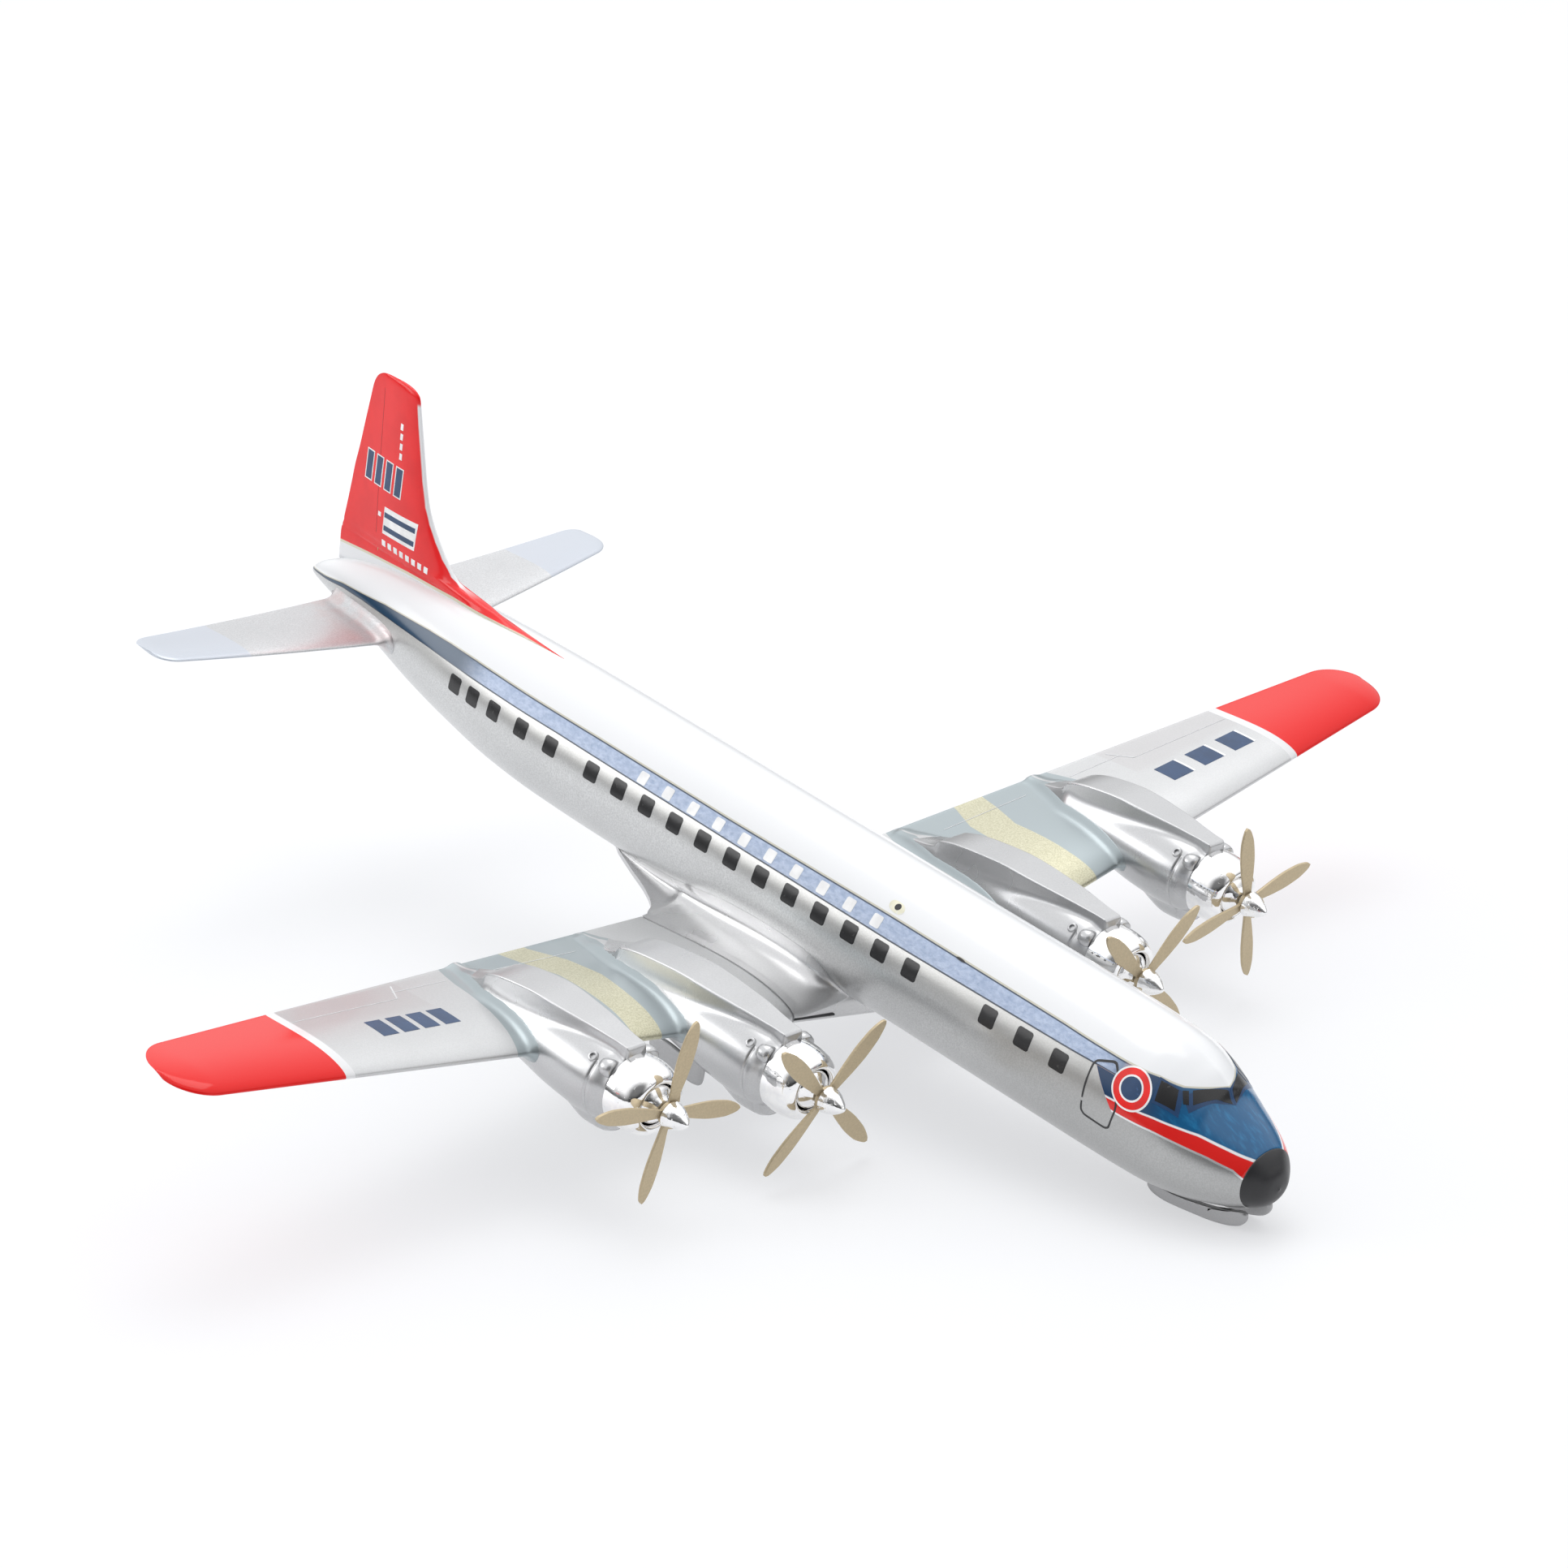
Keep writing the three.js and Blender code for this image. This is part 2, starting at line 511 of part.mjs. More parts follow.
// ---- nose-gear doors ----------------------------------------------------------------------
// Height of the table at distance y from the nose, in the aircraft's frame.
function tableHeight(y) {
  return (-TABLE_DROP - y * Math.sin(NOSE_DOWN)) / Math.cos(NOSE_DOWN);
}

const NOSE_DOOR = { x: 1.95, half: 0.4, flatFrom: 6.4, flatTo: 11.4 };

function addNoseDoors() {
  const lower = new THREE.Shape();
  lower.moveTo(2.2, -4.6);
  lower.lineTo(1.7, -6.4);
  lower.quadraticCurveTo(3.2, -8.1, NOSE_DOOR.flatFrom, tableHeight(NOSE_DOOR.flatFrom));
  lower.lineTo(NOSE_DOOR.flatTo, tableHeight(NOSE_DOOR.flatTo));
  lower.quadraticCurveTo(15.2, tableHeight(14.2), 16.3, -9.75);
  lower.quadraticCurveTo(16.9, -9.2, 16.2, -8.3);
  lower.lineTo(14, -7);
  lower.lineTo(4, -4.6);
  const plate = solid(new THREE.ExtrudeGeometry(lower, {
    depth: 2 * NOSE_DOOR.half, bevelEnabled: false, curveSegments: 6,
  }).applyMatrix4(new THREE.Matrix4().set(
    0, 0, 1, NOSE_DOOR.x - NOSE_DOOR.half, 1, 0, 0, 0, 0, 1, 0, 0, 0, 0, 0, 1)));
  const door = largest(plate.subtract(FUSELAGE_GROWN).subtract(fuselageBody(0, 12, GAP, 24)));
  add('nose_gear_door_left', door, SILVER);
  add('nose_gear_door_right', mirrored(door), SILVER);
}

// ---- main gear ----------------------------------------------------------------------------
const GEAR_X = ENGINES[1].x;
const GEAR_Z = ENGINES[1].z;
const AXLE_Z = tableHeight(GEAR_Y) + WHEEL_RADIUS / Math.cos(NOSE_DOWN);
const DOOR_SPACING = 2.55; // door's middle to the nacelle's middle
const DOOR_THICKNESS = 0.55;
const LEG_RADIUS = 0.75;
const FOOT_RADIUS = 0.5;
const BRACE_RADIUS = 0.35;
const AXLE_RADIUS = 0.4;

function mainDoor() {
  const outline = new THREE.Shape();
  outline.moveTo(60.6, -8.5);
  outline.lineTo(60.7, -11.3);
  outline.quadraticCurveTo(61.3, -12.4, 63.2, -12.1);
  outline.lineTo(64.6, -12.2);
  outline.bezierCurveTo(67.2, -12.6, 70.2, -12.2, 70.3, -10.6);
  outline.quadraticCurveTo(70.2, -9.3, 67.6, -8.2);
  const extrude = { depth: DOOR_THICKNESS, bevelEnabled: false, curveSegments: 6 };
  return solid(new THREE.ExtrudeGeometry(outline, extrude).applyMatrix4(new THREE.Matrix4().set(
    0, 0, 1, -DOOR_THICKNESS / 2, 1, 0, 0, 0, 0, 1, 0, 0, 0, 0, 0, 1)));
}

function addMainDoors() {
  const barrel = nacelleBarrel(ENGINES[1], GAP);
  [['outboard', 1], ['inboard', -1]].forEach(([place, side]) => {
    const door = largest(mainDoor().translate([GEAR_X + side * DOOR_SPACING, 0, 0]).subtract(barrel));
    add(`main_gear_door_left_${place}`, door, SILVER);
    add(`main_gear_door_right_${place}`, mirrored(door), SILVER);
  });
}

// A tyre on its hub: a turned solid about X, bored for the axle.
function wheel(centreX) {
  const [half, rim] = [WHEEL_WIDTH / 2, WHEEL_RADIUS];
  const bore = AXLE_RADIUS + PIN_CLEARANCE;
  const outline = [
    [bore, -half], [rim - 0.35, -half], [rim, -half + 0.4], [rim, half - 0.4], [rim - 0.35, half],
    [bore, half], [bore, -half],
  ].map(([r, u]) => new THREE.Vector2(r, u));
  return solid(new THREE.LatheGeometry(outline, 28).rotateZ(-Math.PI / 2)
    .translate(centreX, GEAR_Y, AXLE_Z));
}

function addMainGear(wingGrown) {
  const reach = WHEEL_OFFSET + WHEEL_WIDTH / 2 + 0.15;
  const bore = rod([GEAR_X - 3, GEAR_Y, AXLE_Z], [GEAR_X + 3, GEAR_Y, AXLE_Z], AXLE_RADIUS + PIN_CLEARANCE);
  const legTop = [GEAR_X, GEAR_Y - 2.2, GEAR_Z - 2.05];
  const legFoot = [GEAR_X, GEAR_Y - 0.3, AXLE_Z + 1.2];
  const leg = rod(legTop, legFoot, LEG_RADIUS)
    .add(rod([GEAR_X, GEAR_Y - 0.5, AXLE_Z + 2.6], [GEAR_X, GEAR_Y, AXLE_Z], FOOT_RADIUS))
    .add(rod([GEAR_X - 0.75, GEAR_Y, AXLE_Z], [GEAR_X + 0.75, GEAR_Y, AXLE_Z], 0.85))
    .subtract(bore).subtract(wingGrown);
  const brace = rod([GEAR_X, GEAR_Y - 9, GEAR_Z - 2.2], [GEAR_X, GEAR_Y - 1.9, AXLE_Z + 4.4], BRACE_RADIUS, 8)
    .subtract(rod(legTop, legFoot, LEG_RADIUS + GAP)).subtract(wingGrown);
  const axle = rod([GEAR_X - reach, GEAR_Y, AXLE_Z], [GEAR_X + reach, GEAR_Y, AXLE_Z], AXLE_RADIUS);
  const pieces = [
    ['main_gear_leg', largest(leg), STEEL], ['main_gear_brace', largest(brace), STEEL],
    ['main_axle', axle, STEEL], ['main_wheel_outer', wheel(GEAR_X + WHEEL_OFFSET), RUBBER],
    ['main_wheel_inner', wheel(GEAR_X - WHEEL_OFFSET), RUBBER],
  ];
  pieces.forEach(([name, body, material]) => {
    add(`${name}_left`, body, material);
    add(`${name}_right`, mirrored(body), material);
  });
}

// ---- assembly -----------------------------------------------------------------------------
const WING_GROWN = wingBody([WING_JOINT_X - 1, 60], GAP, 9);

addFuselage();
addFin();
addTailplanes();
addCentreSection();
addWings();
ENGINES.forEach((engine) => {
  addNacelle(engine, WING_GROWN);
  addEngine(engine);
});
addNoseDoors();
addMainDoors();
addMainGear(WING_GROWN);

// Pitch the aircraft, then put the middle of its box over the origin and its lowest point at z = 0.
const assembly = new THREE.Group();
model.rotation.x = NOSE_DOWN;
assembly.add(model);
assembly.updateMatrixWorld(true);
const box = new THREE.Box3().setFromObject(assembly, true);
model.position.set(-(box.min.x + box.max.x) / 2, -(box.min.y + box.max.y) / 2, -box.min.z);

export default assembly;
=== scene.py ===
"""Looks for the desktop airliner model: fine castings, livery, polished engines, etched propellers.

Shapes are laid out in the aircraft's own frame, in millimetres: +X to the left wing tip, +Y aft from
the nose tip, +Z up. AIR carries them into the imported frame, where the aircraft is pitched nose-down.
"""
import json
import math

import bmesh
import bpy
import numpy as np
from mathutils import Matrix, Vector


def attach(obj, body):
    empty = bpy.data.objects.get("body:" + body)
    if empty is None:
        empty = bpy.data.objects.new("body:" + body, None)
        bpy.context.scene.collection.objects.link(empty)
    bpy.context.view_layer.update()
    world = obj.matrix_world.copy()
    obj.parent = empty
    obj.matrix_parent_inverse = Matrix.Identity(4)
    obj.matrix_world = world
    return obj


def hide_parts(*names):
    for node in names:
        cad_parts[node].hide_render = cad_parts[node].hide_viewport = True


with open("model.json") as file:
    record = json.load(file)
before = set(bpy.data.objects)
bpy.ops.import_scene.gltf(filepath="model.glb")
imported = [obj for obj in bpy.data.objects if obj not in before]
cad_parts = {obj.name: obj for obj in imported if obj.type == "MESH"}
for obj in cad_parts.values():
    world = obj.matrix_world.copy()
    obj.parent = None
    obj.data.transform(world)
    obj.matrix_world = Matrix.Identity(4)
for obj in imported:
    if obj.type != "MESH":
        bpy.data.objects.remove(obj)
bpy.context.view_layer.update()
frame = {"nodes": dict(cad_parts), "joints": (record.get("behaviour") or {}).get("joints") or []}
joints = {joint["name"]: joint for joint in frame["joints"]}

# ---- the aircraft's frame ----
MM = 0.001
LENGTH = 171.0
RADOME_END = 2.25
WING_ROOT_X = 9.0  # span where the wing's edges are measured from
WING_JOINT_X = 13.9
WING_TIP_X = 94.7
WING_TIP_ROUNDING = 4.0
WING_TIP_SWEEP = 4.4  # how far the tip's rounding draws each edge in
WING_HALF_THICKNESS, WING_CAMBER = 0.075, 0.012  # fractions of the chord
WING_FILLET, TAIL_FILLET = 1.3, 2.2  # radii where the wing meets a nacelle, the tailplane the fuselage
TAIL_ROOT_X = 2.0
TAIL_TIP_X = 35.8
PROP_RADIUS = 10.9
SHAFT_BORE = 0.53
MAIN_GEAR_X = 25.46
AXLE_Y = 78.0
WHEEL_RADIUS = 2.9
WHEEL_OFFSET, MAIN_DOOR_OFFSET, NOSE_DOOR_X = 1.75, 2.55, 1.95
MAIN_DOOR_HALF, NOSE_DOOR_HALF = 0.27, 0.4  # half thicknesses
ORIGIN_HEIGHT = 7.62  # of the frame's origin over the table
DECAL_DEPTH = 0.05
RADOME_GAP = 0.02
SIDES = (("left", 1), ("right", -1))
ENGINES = {  # thrust line: x, propeller plane y, z, and the blades' angle
    "outer_left": (46.03, 47.2, -2.35, 12.6), "inner_left": (25.46, 44.1, -5.35, 44.7),
    "inner_right": (-25.46, 44.1, -5.35, 43.5), "outer_right": (-46.03, 47.2, -2.35, -13.8),
}
NACELLE_REAR = {"outer": 30.8, "inner": 35.6}
NACELLE_END = {"outer": 36.8, "inner": 41.5}

anchor = joints["propeller_spin_outer_left"]
PITCH = math.atan2(anchor["axis"][2], anchor["axis"][1])
TURN = Matrix.Rotation(PITCH, 4, "X")
OFFSET = Vector(anchor["pos_m"]) - TURN @ (Vector(ENGINES["outer_left"][:3]) * MM)
AIR = Matrix.Translation(OFFSET) @ TURN @ Matrix.Scale(MM, 4)


# ---- outlines ----
def profile(rows):
    """Monotone cubic through rows of [position, value, ...]; works on arrays of positions."""
    rows = np.array(rows, float)
    at, values = rows[:, 0], rows[:, 1:]
    steps = np.diff(values, axis=0) / np.diff(at)[:, None]
    slopes = np.zeros_like(values)
    before, after = steps[:-1], steps[1:]
    same = before * after > 0
    slopes[1:-1][same] = (2 * before[same] * after[same]) / (before + after)[same]

    def value(position):
        position = np.clip(np.asarray(position, float), at[0], at[-1])
        i = np.clip(np.searchsorted(at, position, side="right") - 1, 0, len(at) - 2)
        h = at[i + 1] - at[i]
        t = ((position - at[i]) / h)[..., None]
        h = h[..., None]
        return ((2 * t**3 - 3 * t**2 + 1) * values[i] + (t**3 - 2 * t**2 + t) * h * slopes[i]
                + (3 * t**2 - 2 * t**3) * values[i + 1] + (t**3 - t**2) * h * slopes[i + 1])
    return value


fuselage_at = profile([  # distance aft, top, bottom, half width
    [0, -2.0, -2.1, 0.05], [0.3, -0.55, -3.4, 1.5], [1, 0.5, -4.5, 2.65], [2, 1.6, -5.2, 3.7],
    [4, 2.75, -6.1, 5.1], [6.6, 3.9, -6.95, 6.35], [9.5, 5.15, -7.75, 7.4], [12.4, 6.84, -8.3, 8.1],
    [14.5, 7.86, -8.6, 8.45], [16.6, 8.48, -8.72, 8.65], [20, 8.85, -8.8, 8.8], [26, 9.02, -8.84, 8.89],
    [107, 9.02, -8.76, 8.87], [118, 9.0, -8.62, 8.75], [127, 8.96, -8.2, 8.2], [136, 8.85, -7.05, 7.2],
    [145, 8.45, -5.5, 5.9], [154, 7.55, -3.25, 4.45], [162, 5.8, -1.3, 2.95], [168, 3.3, -0.1, 1.5],
    [170.3, 1.75, 0.4, 0.65], [LENGTH, 1.0, 0.9, 0.08],
])
cockpit_at = profile([  # distance aft, height of the cockpit roof over the round body
    [7.6, 0], [8.4, 0.25], [9.1, 1.2], [10.4, 1.35], [12.4, 0.85], [14.5, 0.42], [17, 0.1], [20, 0],
])


def skin(y, angle):
    """Fuselage surface at distance aft y and angle from the top, positive to the left side."""
    y, angle = np.broadcast_arrays(np.asarray(y, float), np.asarray(angle, float))
    top, bottom, width = np.moveaxis(fuselage_at(y), -1, 0)
    ridge = cockpit_at(y)[..., 0] * (1 - np.abs(np.sin(angle))) ** 2 * (np.cos(angle) > 0)
    z = (top + bottom) / 2 + (top - bottom) / 2 * np.cos(angle) + ridge
    return np.stack([width * np.sin(angle), y, z], -1)


def on_skin(y, z, side, lift):
    """Point on the fuselage side at (y, z), lifted off the surface; side is 1 for left, -1 for right."""
    top, bottom, _ = np.moveaxis(fuselage_at(y), -1, 0)
    cosine = np.clip((np.asarray(z, float) - (top + bottom) / 2) / ((top - bottom) / 2), -1, 1)
    return lifted(np.asarray(y, float), side * np.arccos(cosine), lift)


def lifted(y, angle, lift):
    """Point of the fuselage surface moved out along its normal."""
    step = 0.02
    point = skin(y, angle)
    along = skin(y + step, angle) - skin(y - step, angle)
    around = skin(y, angle + step) - skin(y, angle - step)
    normal = np.cross(along, around)
    normal /= np.linalg.norm(normal, axis=-1, keepdims=True) + 1e-12
    outward = point - np.stack([0 * point[..., 0], point[..., 1], 0 * point[..., 0]], -1)
    normal *= np.sign((normal * outward).sum(-1, keepdims=True))
    return point + normal * lift


LEADING = {"y": 61.04, "z": -8.3, "sweep": 0.0793, "rise": 0.1455}
TRAILING = {"y": 88.78, "z": -7.93, "sweep": -0.1243, "rise": 0.1465}


def section(t):
    """Streamlined half thickness against fraction of chord, 1 at the thickest."""
    return np.maximum(2.6 * np.sqrt(t) - 1.1 * t - 3.1 * t**2 + 1.68 * t**3, 0)


def wing_edges(x):
    """Leading and trailing edge of the wing at span x, before its tip is rounded."""
    out = x - WING_ROOT_X
    return LEADING["y"] + LEADING["sweep"] * out, TRAILING["y"] + TRAILING["sweep"] * out


def wing_point(x, t, side, edge=0.1):
    """Left wing surface at span x and chord fraction t; side is 1 above and -1 below."""
    out = x - WING_ROOT_X
    past = np.clip((x - (WING_TIP_X - WING_TIP_ROUNDING)) / WING_TIP_ROUNDING, 0, 1)
    rounding = (1 - np.sqrt(1 - past**2)) * WING_TIP_SWEEP
    front, rear = wing_edges(x)
    front, rear = front + rounding, rear - rounding
    half = WING_HALF_THICKNESS * (rear - front) * (1 - 0.25 * past)
    front_height = LEADING["z"] + LEADING["rise"] * out
    rear_height = TRAILING["z"] + TRAILING["rise"] * out
    camber = WING_CAMBER * (rear - front) * 4 * t * (1 - t)
    blunt = edge * np.clip(t / 0.02, 0, 1)
    height = front_height * (1 - t) + rear_height * t + camber
    return np.stack([x + 0 * t, front + (rear - front) * t,
                     height + side * half * np.maximum(section(t), blunt)], -1)


def smooth_max(a, b, k):
    """The larger of two values, blended over a width of k."""
    h = np.clip(0.5 + 0.5 * (a - b) / k, 0, 1)
    return a * h + b * (1 - h) + k * h * (1 - h)


def smooth_min(a, b, k):
    return -smooth_max(-a, -b, k)


def fuselage_distance(points):
    """Roughly how far points stand off the fuselage."""
    top, bottom, width = np.moveaxis(fuselage_at(points[..., 1]), -1, 0)
    height = (top - bottom) / 2
    scaled = np.hypot(points[..., 0] / width, (points[..., 2] - (top + bottom) / 2) / height)
    return (scaled - 1) * np.minimum(width, height)


def filleted(rings, distance, radius):
    """Skin of closed rings pushed out along its normals where a rounded fillet to a neighbour lies."""
    rings = np.asarray(rings, float)
    along = np.gradient(rings, axis=0)
    around = np.roll(rings, -1, 1) - np.roll(rings, 1, 1)
    normal = np.cross(along, around)
    normal /= np.linalg.norm(normal, axis=-1, keepdims=True) + 1e-9
    outward = rings - rings.mean(1, keepdims=True)
    outward[..., 0] = 0
    if (normal * outward).sum() < 0:
        normal = -normal
    height = np.zeros(rings.shape[:2])
    for _ in range(24):
        gap = smooth_min(height, distance(rings + normal * height[..., None]), radius)
        height = np.clip(height - 0.6 * gap, 0, 0.6 * np.max(radius))
    return rings + normal * height[..., None]


# ---- mesh making ----
def cosine_steps(count):
    """Fractions from 0 to 1, closest together at both ends."""
    return (1 - np.cos(np.pi * np.arange(count + 1) / count)) / 2


def loft_faces(rings, around, closed=True):
    faces = []
    for r in range(rings - 1):
        for i in range(around if closed else around - 1):
            j = (i + 1) % around
            faces.append((r * around + i, r * around + j, (r + 1) * around + j, (r + 1) * around + i))
    return faces


def placed(name, data):
    """New object in the scene from a mesh, a lamp or a camera."""
    made = bpy.data.objects.new(name, data)
    bpy.context.scene.collection.objects.link(made)
    return made


def piece(name, points, faces, material):
    """Mesh object from points in the aircraft's frame."""
    mesh = bpy.data.meshes.new(name)
    mesh.from_pydata(np.asarray(points, float).reshape(-1, 3).tolist(), [], faces)
    mesh.transform(AIR)
    edit = bmesh.new()
    edit.from_mesh(mesh)
    bmesh.ops.remove_doubles(edit, verts=edit.verts, dist=1e-7)
    bmesh.ops.dissolve_degenerate(edit, edges=edit.edges, dist=1e-8)
    bmesh.ops.recalc_face_normals(edit, faces=edit.faces)
    edit.to_mesh(mesh)
    edit.free()
    mesh.materials.append(material)
    mesh.polygons.foreach_set("use_smooth", [True] * len(mesh.polygons))
    return placed(name, mesh)


def lofted(name, rings, material):
    """Closed skin through rings of points, with a cap on the first and the last."""
    rings = np.asarray(rings, float)
    count, around = rings.shape[:2]
    caps = [tuple(range(around)), tuple((count - 1) * around + i for i in range(around))]
    return piece(name, rings, loft_faces(count, around) + caps, material)


def lathe(name, outline, x, z, material, around=96):
    """Turned body about the fore-and-aft line through (x, z); outline is [radius, y] pairs."""
    outline = np.array(outline, float)
    angle = np.linspace(0, 2 * np.pi, around, endpoint=False)
    rings = [[(x + r * math.sin(a), y, z + r * math.cos(a)) for a in angle] for r, y in outline]
    return piece(name, rings, loft_faces(len(outline), around), material)


def smooth_line(points, times=3):
    """Corner cutting on an open line that keeps its two ends."""
    points = np.array(points, float)
    for _ in range(times):
        a, b = points[:-1], points[1:]
        cut = np.stack([a * 0.75 + b * 0.25, a * 0.25 + b * 0.75], 1).reshape(-1, points.shape[1])
        points = np.vstack([points[:1], cut[1:-1], points[-1:]])
    return points


def soften(points, times=3, keep=0.75):
    """Corner cutting on a closed outline."""
    points = np.array(points, float)
    for _ in range(times):
        following = np.roll(points, -1, 0)
        pair = [points * keep + following * (1 - keep), points * (1 - keep) + following * keep]
        points = np.stack(pair, 1).reshape(-1, points.shape[1])
    return points


def backed(made):
    """Give an open decal sheet a back and a rim, so that it is a thin closed shell."""
    edit = bmesh.new()
    edit.from_mesh(made.data)
    if any(edge.is_boundary for edge in edit.edges):
        bmesh.ops.solidify(edit, geom=edit.faces[:], thickness=DECAL_DEPTH * MM)
        bmesh.ops.recalc_face_normals(edit, faces=edit.faces)
        edit.to_mesh(made.data)
        sharpen(made, 50)
    edit.free()


def finish_piece(made, slot, *replaced, body="airframe"):
    """Make the piece ride its body and hide the CAD nodes that it stands for; the slot is not used."""
    backed(made)
    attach(made, body)
    if replaced:
        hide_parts(*replaced)
    return made


def sharpen(made, degrees=35):
    """Smooth shading that breaks at real edges."""
    edit = bmesh.new()
    edit.from_mesh(made.data)
    for edge in edit.edges:
        if len(edge.link_faces) == 2 and edge.calc_face_angle(0) > math.radians(degrees):
            edge.smooth = False
    edit.to_mesh(made.data)
    edit.free()
    return made


# ---- materials ----
class Nodes:
    """Short calls that add nodes to one node tree."""

    def __init__(self, tree):
        self.tree = tree

    def add(self, kind):
        return self.tree.nodes.new(f"ShaderNode{kind}")

    def put(self, socket, value):
        if hasattr(value, "is_output"):
            self.tree.links.new(value, socket)
        elif isinstance(value, tuple) and len(value) == 3 and socket.type == "RGBA":
            socket.default_value = (*value, 1)
        else:
            socket.default_value = value

    def math(self, operation, a, b=0.0, c=0.0):
        node = self.add("Math")
        node.operation = operation
        for socket, value in zip(node.inputs, (a, b, c)):
            self.put(socket, value)
        return node.outputs[0]

    def minus(self, a, b):
        return self.math("SUBTRACT", a, b)

    def both(self, a, b):
        return self.math("MULTIPLY", a, b)

    def ramp(self, value, low, high, out_low=0.0, out_high=1.0, shape="SMOOTHSTEP"):
        node = self.add("MapRange")
        node.interpolation_type = shape
        for socket, number in zip(node.inputs, (value, low, high, out_low, out_high)):
            self.put(socket, number)
        return node.outputs[0]

    def blend(self, factor, bare, covered):
        """A number that changes where a coat of paint begins."""
        return self.ramp(factor, 0, 1, bare, covered)

    def split(self, vector):
        node = self.add("SeparateXYZ")
        self.put(node.inputs[0], vector)
        return node.outputs


class Paint(Nodes):
    """A node material built from short calls; positions are in the aircraft's frame, in mm."""

    def __init__(self, name, **constants):
        self.material = bpy.data.materials.new(name)
        self.material.use_nodes = True
        super().__init__(self.material.node_tree)
        self.shader = self.tree.nodes["Principled BSDF"]
        for key, value in constants.items():
            self.shader.inputs[key.replace("_", " ")].default_value = value
        mapping = self.add("Mapping")
        mapping.vector_type = "TEXTURE"
        mapping.inputs["Location"].default_value = OFFSET
        mapping.inputs["Rotation"].default_value = (PITCH, 0, 0)
        mapping.inputs["Scale"].default_value = (MM, MM, MM)
        self.put(mapping.inputs["Vector"], self.add("TexCoord").outputs["Object"])
        self.place = mapping.outputs["Vector"]
        self.x, self.y, self.z = self.split(self.place)
        self.across = self.math("ABSOLUTE", self.x)

    def mix(self, factor, a, b):
        node = self.add("Mix")
        node.data_type = "RGBA"
        self.put(node.inputs[0], factor)
        self.put(node.inputs[6], a)
        self.put(node.inputs[7], b)
        return node.outputs[2]

    def noise(self, scale, detail=3.0, stretch=(1, 1, 1), rough=0.5):
        mapping = self.add("Mapping")
        self.put(mapping.inputs["Vector"], self.place)
        mapping.inputs["Scale"].default_value = [scale * s for s in stretch]
        node = self.add("TexNoise")
        node.inputs["Scale"].default_value = 1.0
        node.inputs["Detail"].default_value = detail
        node.inputs["Roughness"].default_value = rough
        self.put(node.inputs["Vector"], mapping.outputs[0])
        return node.outputs["Fac"]

    def curve(self, value, points, low=0.0, high=LENGTH):
        """Piecewise line through (value, result) points, as a lookup that the export can read."""
        node = self.add("FloatCurve")
        bottom = min(p[1] for p in points)
        top = max(p[1] for p in points) + 1e-6
        line = node.mapping.curves[0]
        places = [((p[0] - low) / (high - low), (p[1] - bottom) / (top - bottom)) for p in points]
        while len(line.points) < len(places):
            line.points.new(0.5, 0.5)
        for point, where in zip(line.points, sorted(places)):
            point.location = where
            point.handle_type = "VECTOR"
        node.mapping.update()
        self.put(node.inputs["Factor"], 1.0)
        self.put(node.inputs["Value"], self.math("DIVIDE", self.minus(value, low), high - low))
        return self.math("MULTIPLY_ADD", node.outputs[0], top - bottom, bottom)

    def above(self, value, edge, soft=0.04):
        """1 where value is over edge, with a narrow painted edge."""
        return self.ramp(self.minus(value, edge), -soft, soft)

    def bump(self, height, distance, strength=1.0):
        node = self.add("Bump")
        node.inputs["Distance"].default_value = distance * MM
        node.inputs["Strength"].default_value = strength
        self.put(node.inputs["Height"], height)
        self.put(self.shader.inputs["Normal"], node.outputs[0])

    def done(self, colour=None, roughness=None, metallic=None):
        for key, value in (("Base Color", colour), ("Roughness", roughness), ("Metallic", metallic)):
            if value is not None:
                self.put(self.shader.inputs[key], value)
        return self.material


WING_TONE = (0.59, 0.595, 0.6)
WHITE_TONE = (0.86, 0.87, 0.885)
RED_TONE = (0.74, 0.014, 0.011)
NAVY_TONE = (0.012, 0.045, 0.12)


def flake(paint, tone, contrast=0.16):
    """Aluminium lacquer: fine bright and dark grains with a slow cloudiness over them."""
    grain = paint.noise(5.5, 2.0)
    cloud = paint.noise(0.16, 2.0)
    dark = tuple(c * (1 - contrast) for c in tone)
    light = tuple(min(c * (1 + contrast * 1.3), 1) for c in tone)
    spread = paint.mix(paint.ramp(grain, 0.32, 0.68), dark, light)
    return paint.mix(paint.ramp(cloud, 0.35, 0.75, 0.0, 0.25), spread, tuple(c * 0.9 for c in tone)), grain


CHEATLINE_TOP = [
    (0, 6.1), (8.9, 6.1), (12.1, 5.8), (14.7, 6.17), (28, 6.38), (56, 6.42), (83, 6.22), (107, 6.24),
    (120, 6.17), (131, 6.1), (136.5, 6.0), (141, 5.76), (145.5, 5.38), (151, 4.9), (161.3, 3.35),
    (166, 2.2), (171, 1.3),
]
CHEATLINE_FOOT = [
    (0, 4.8), (21, 4.8), (28, 4.68), (54, 4.38), (81, 4.38), (105, 4.46), (113, 4.5), (121, 4.42),
    (129.5, 4.3), (139.6, 4.14), (149.8, 3.76), (156, 3.4), (161, 2.85), (165.3, 1.95), (171, 1.1),
]
RED_TOP = [(0, 0.5), (2.5, 1.3), (4.9, 1.86), (7.8, 2.41), (13, 2.75), (19, 2.6), (171, 2.6)]
RED_FOOT = [
    (0, -2.2), (2, -0.75), (3.4, 0.1), (6.2, 0.7), (9.2, 1.05), (12.3, 1.39), (19, 1.5), (171, 1.5),
]
BAND_BORDER = 0.2


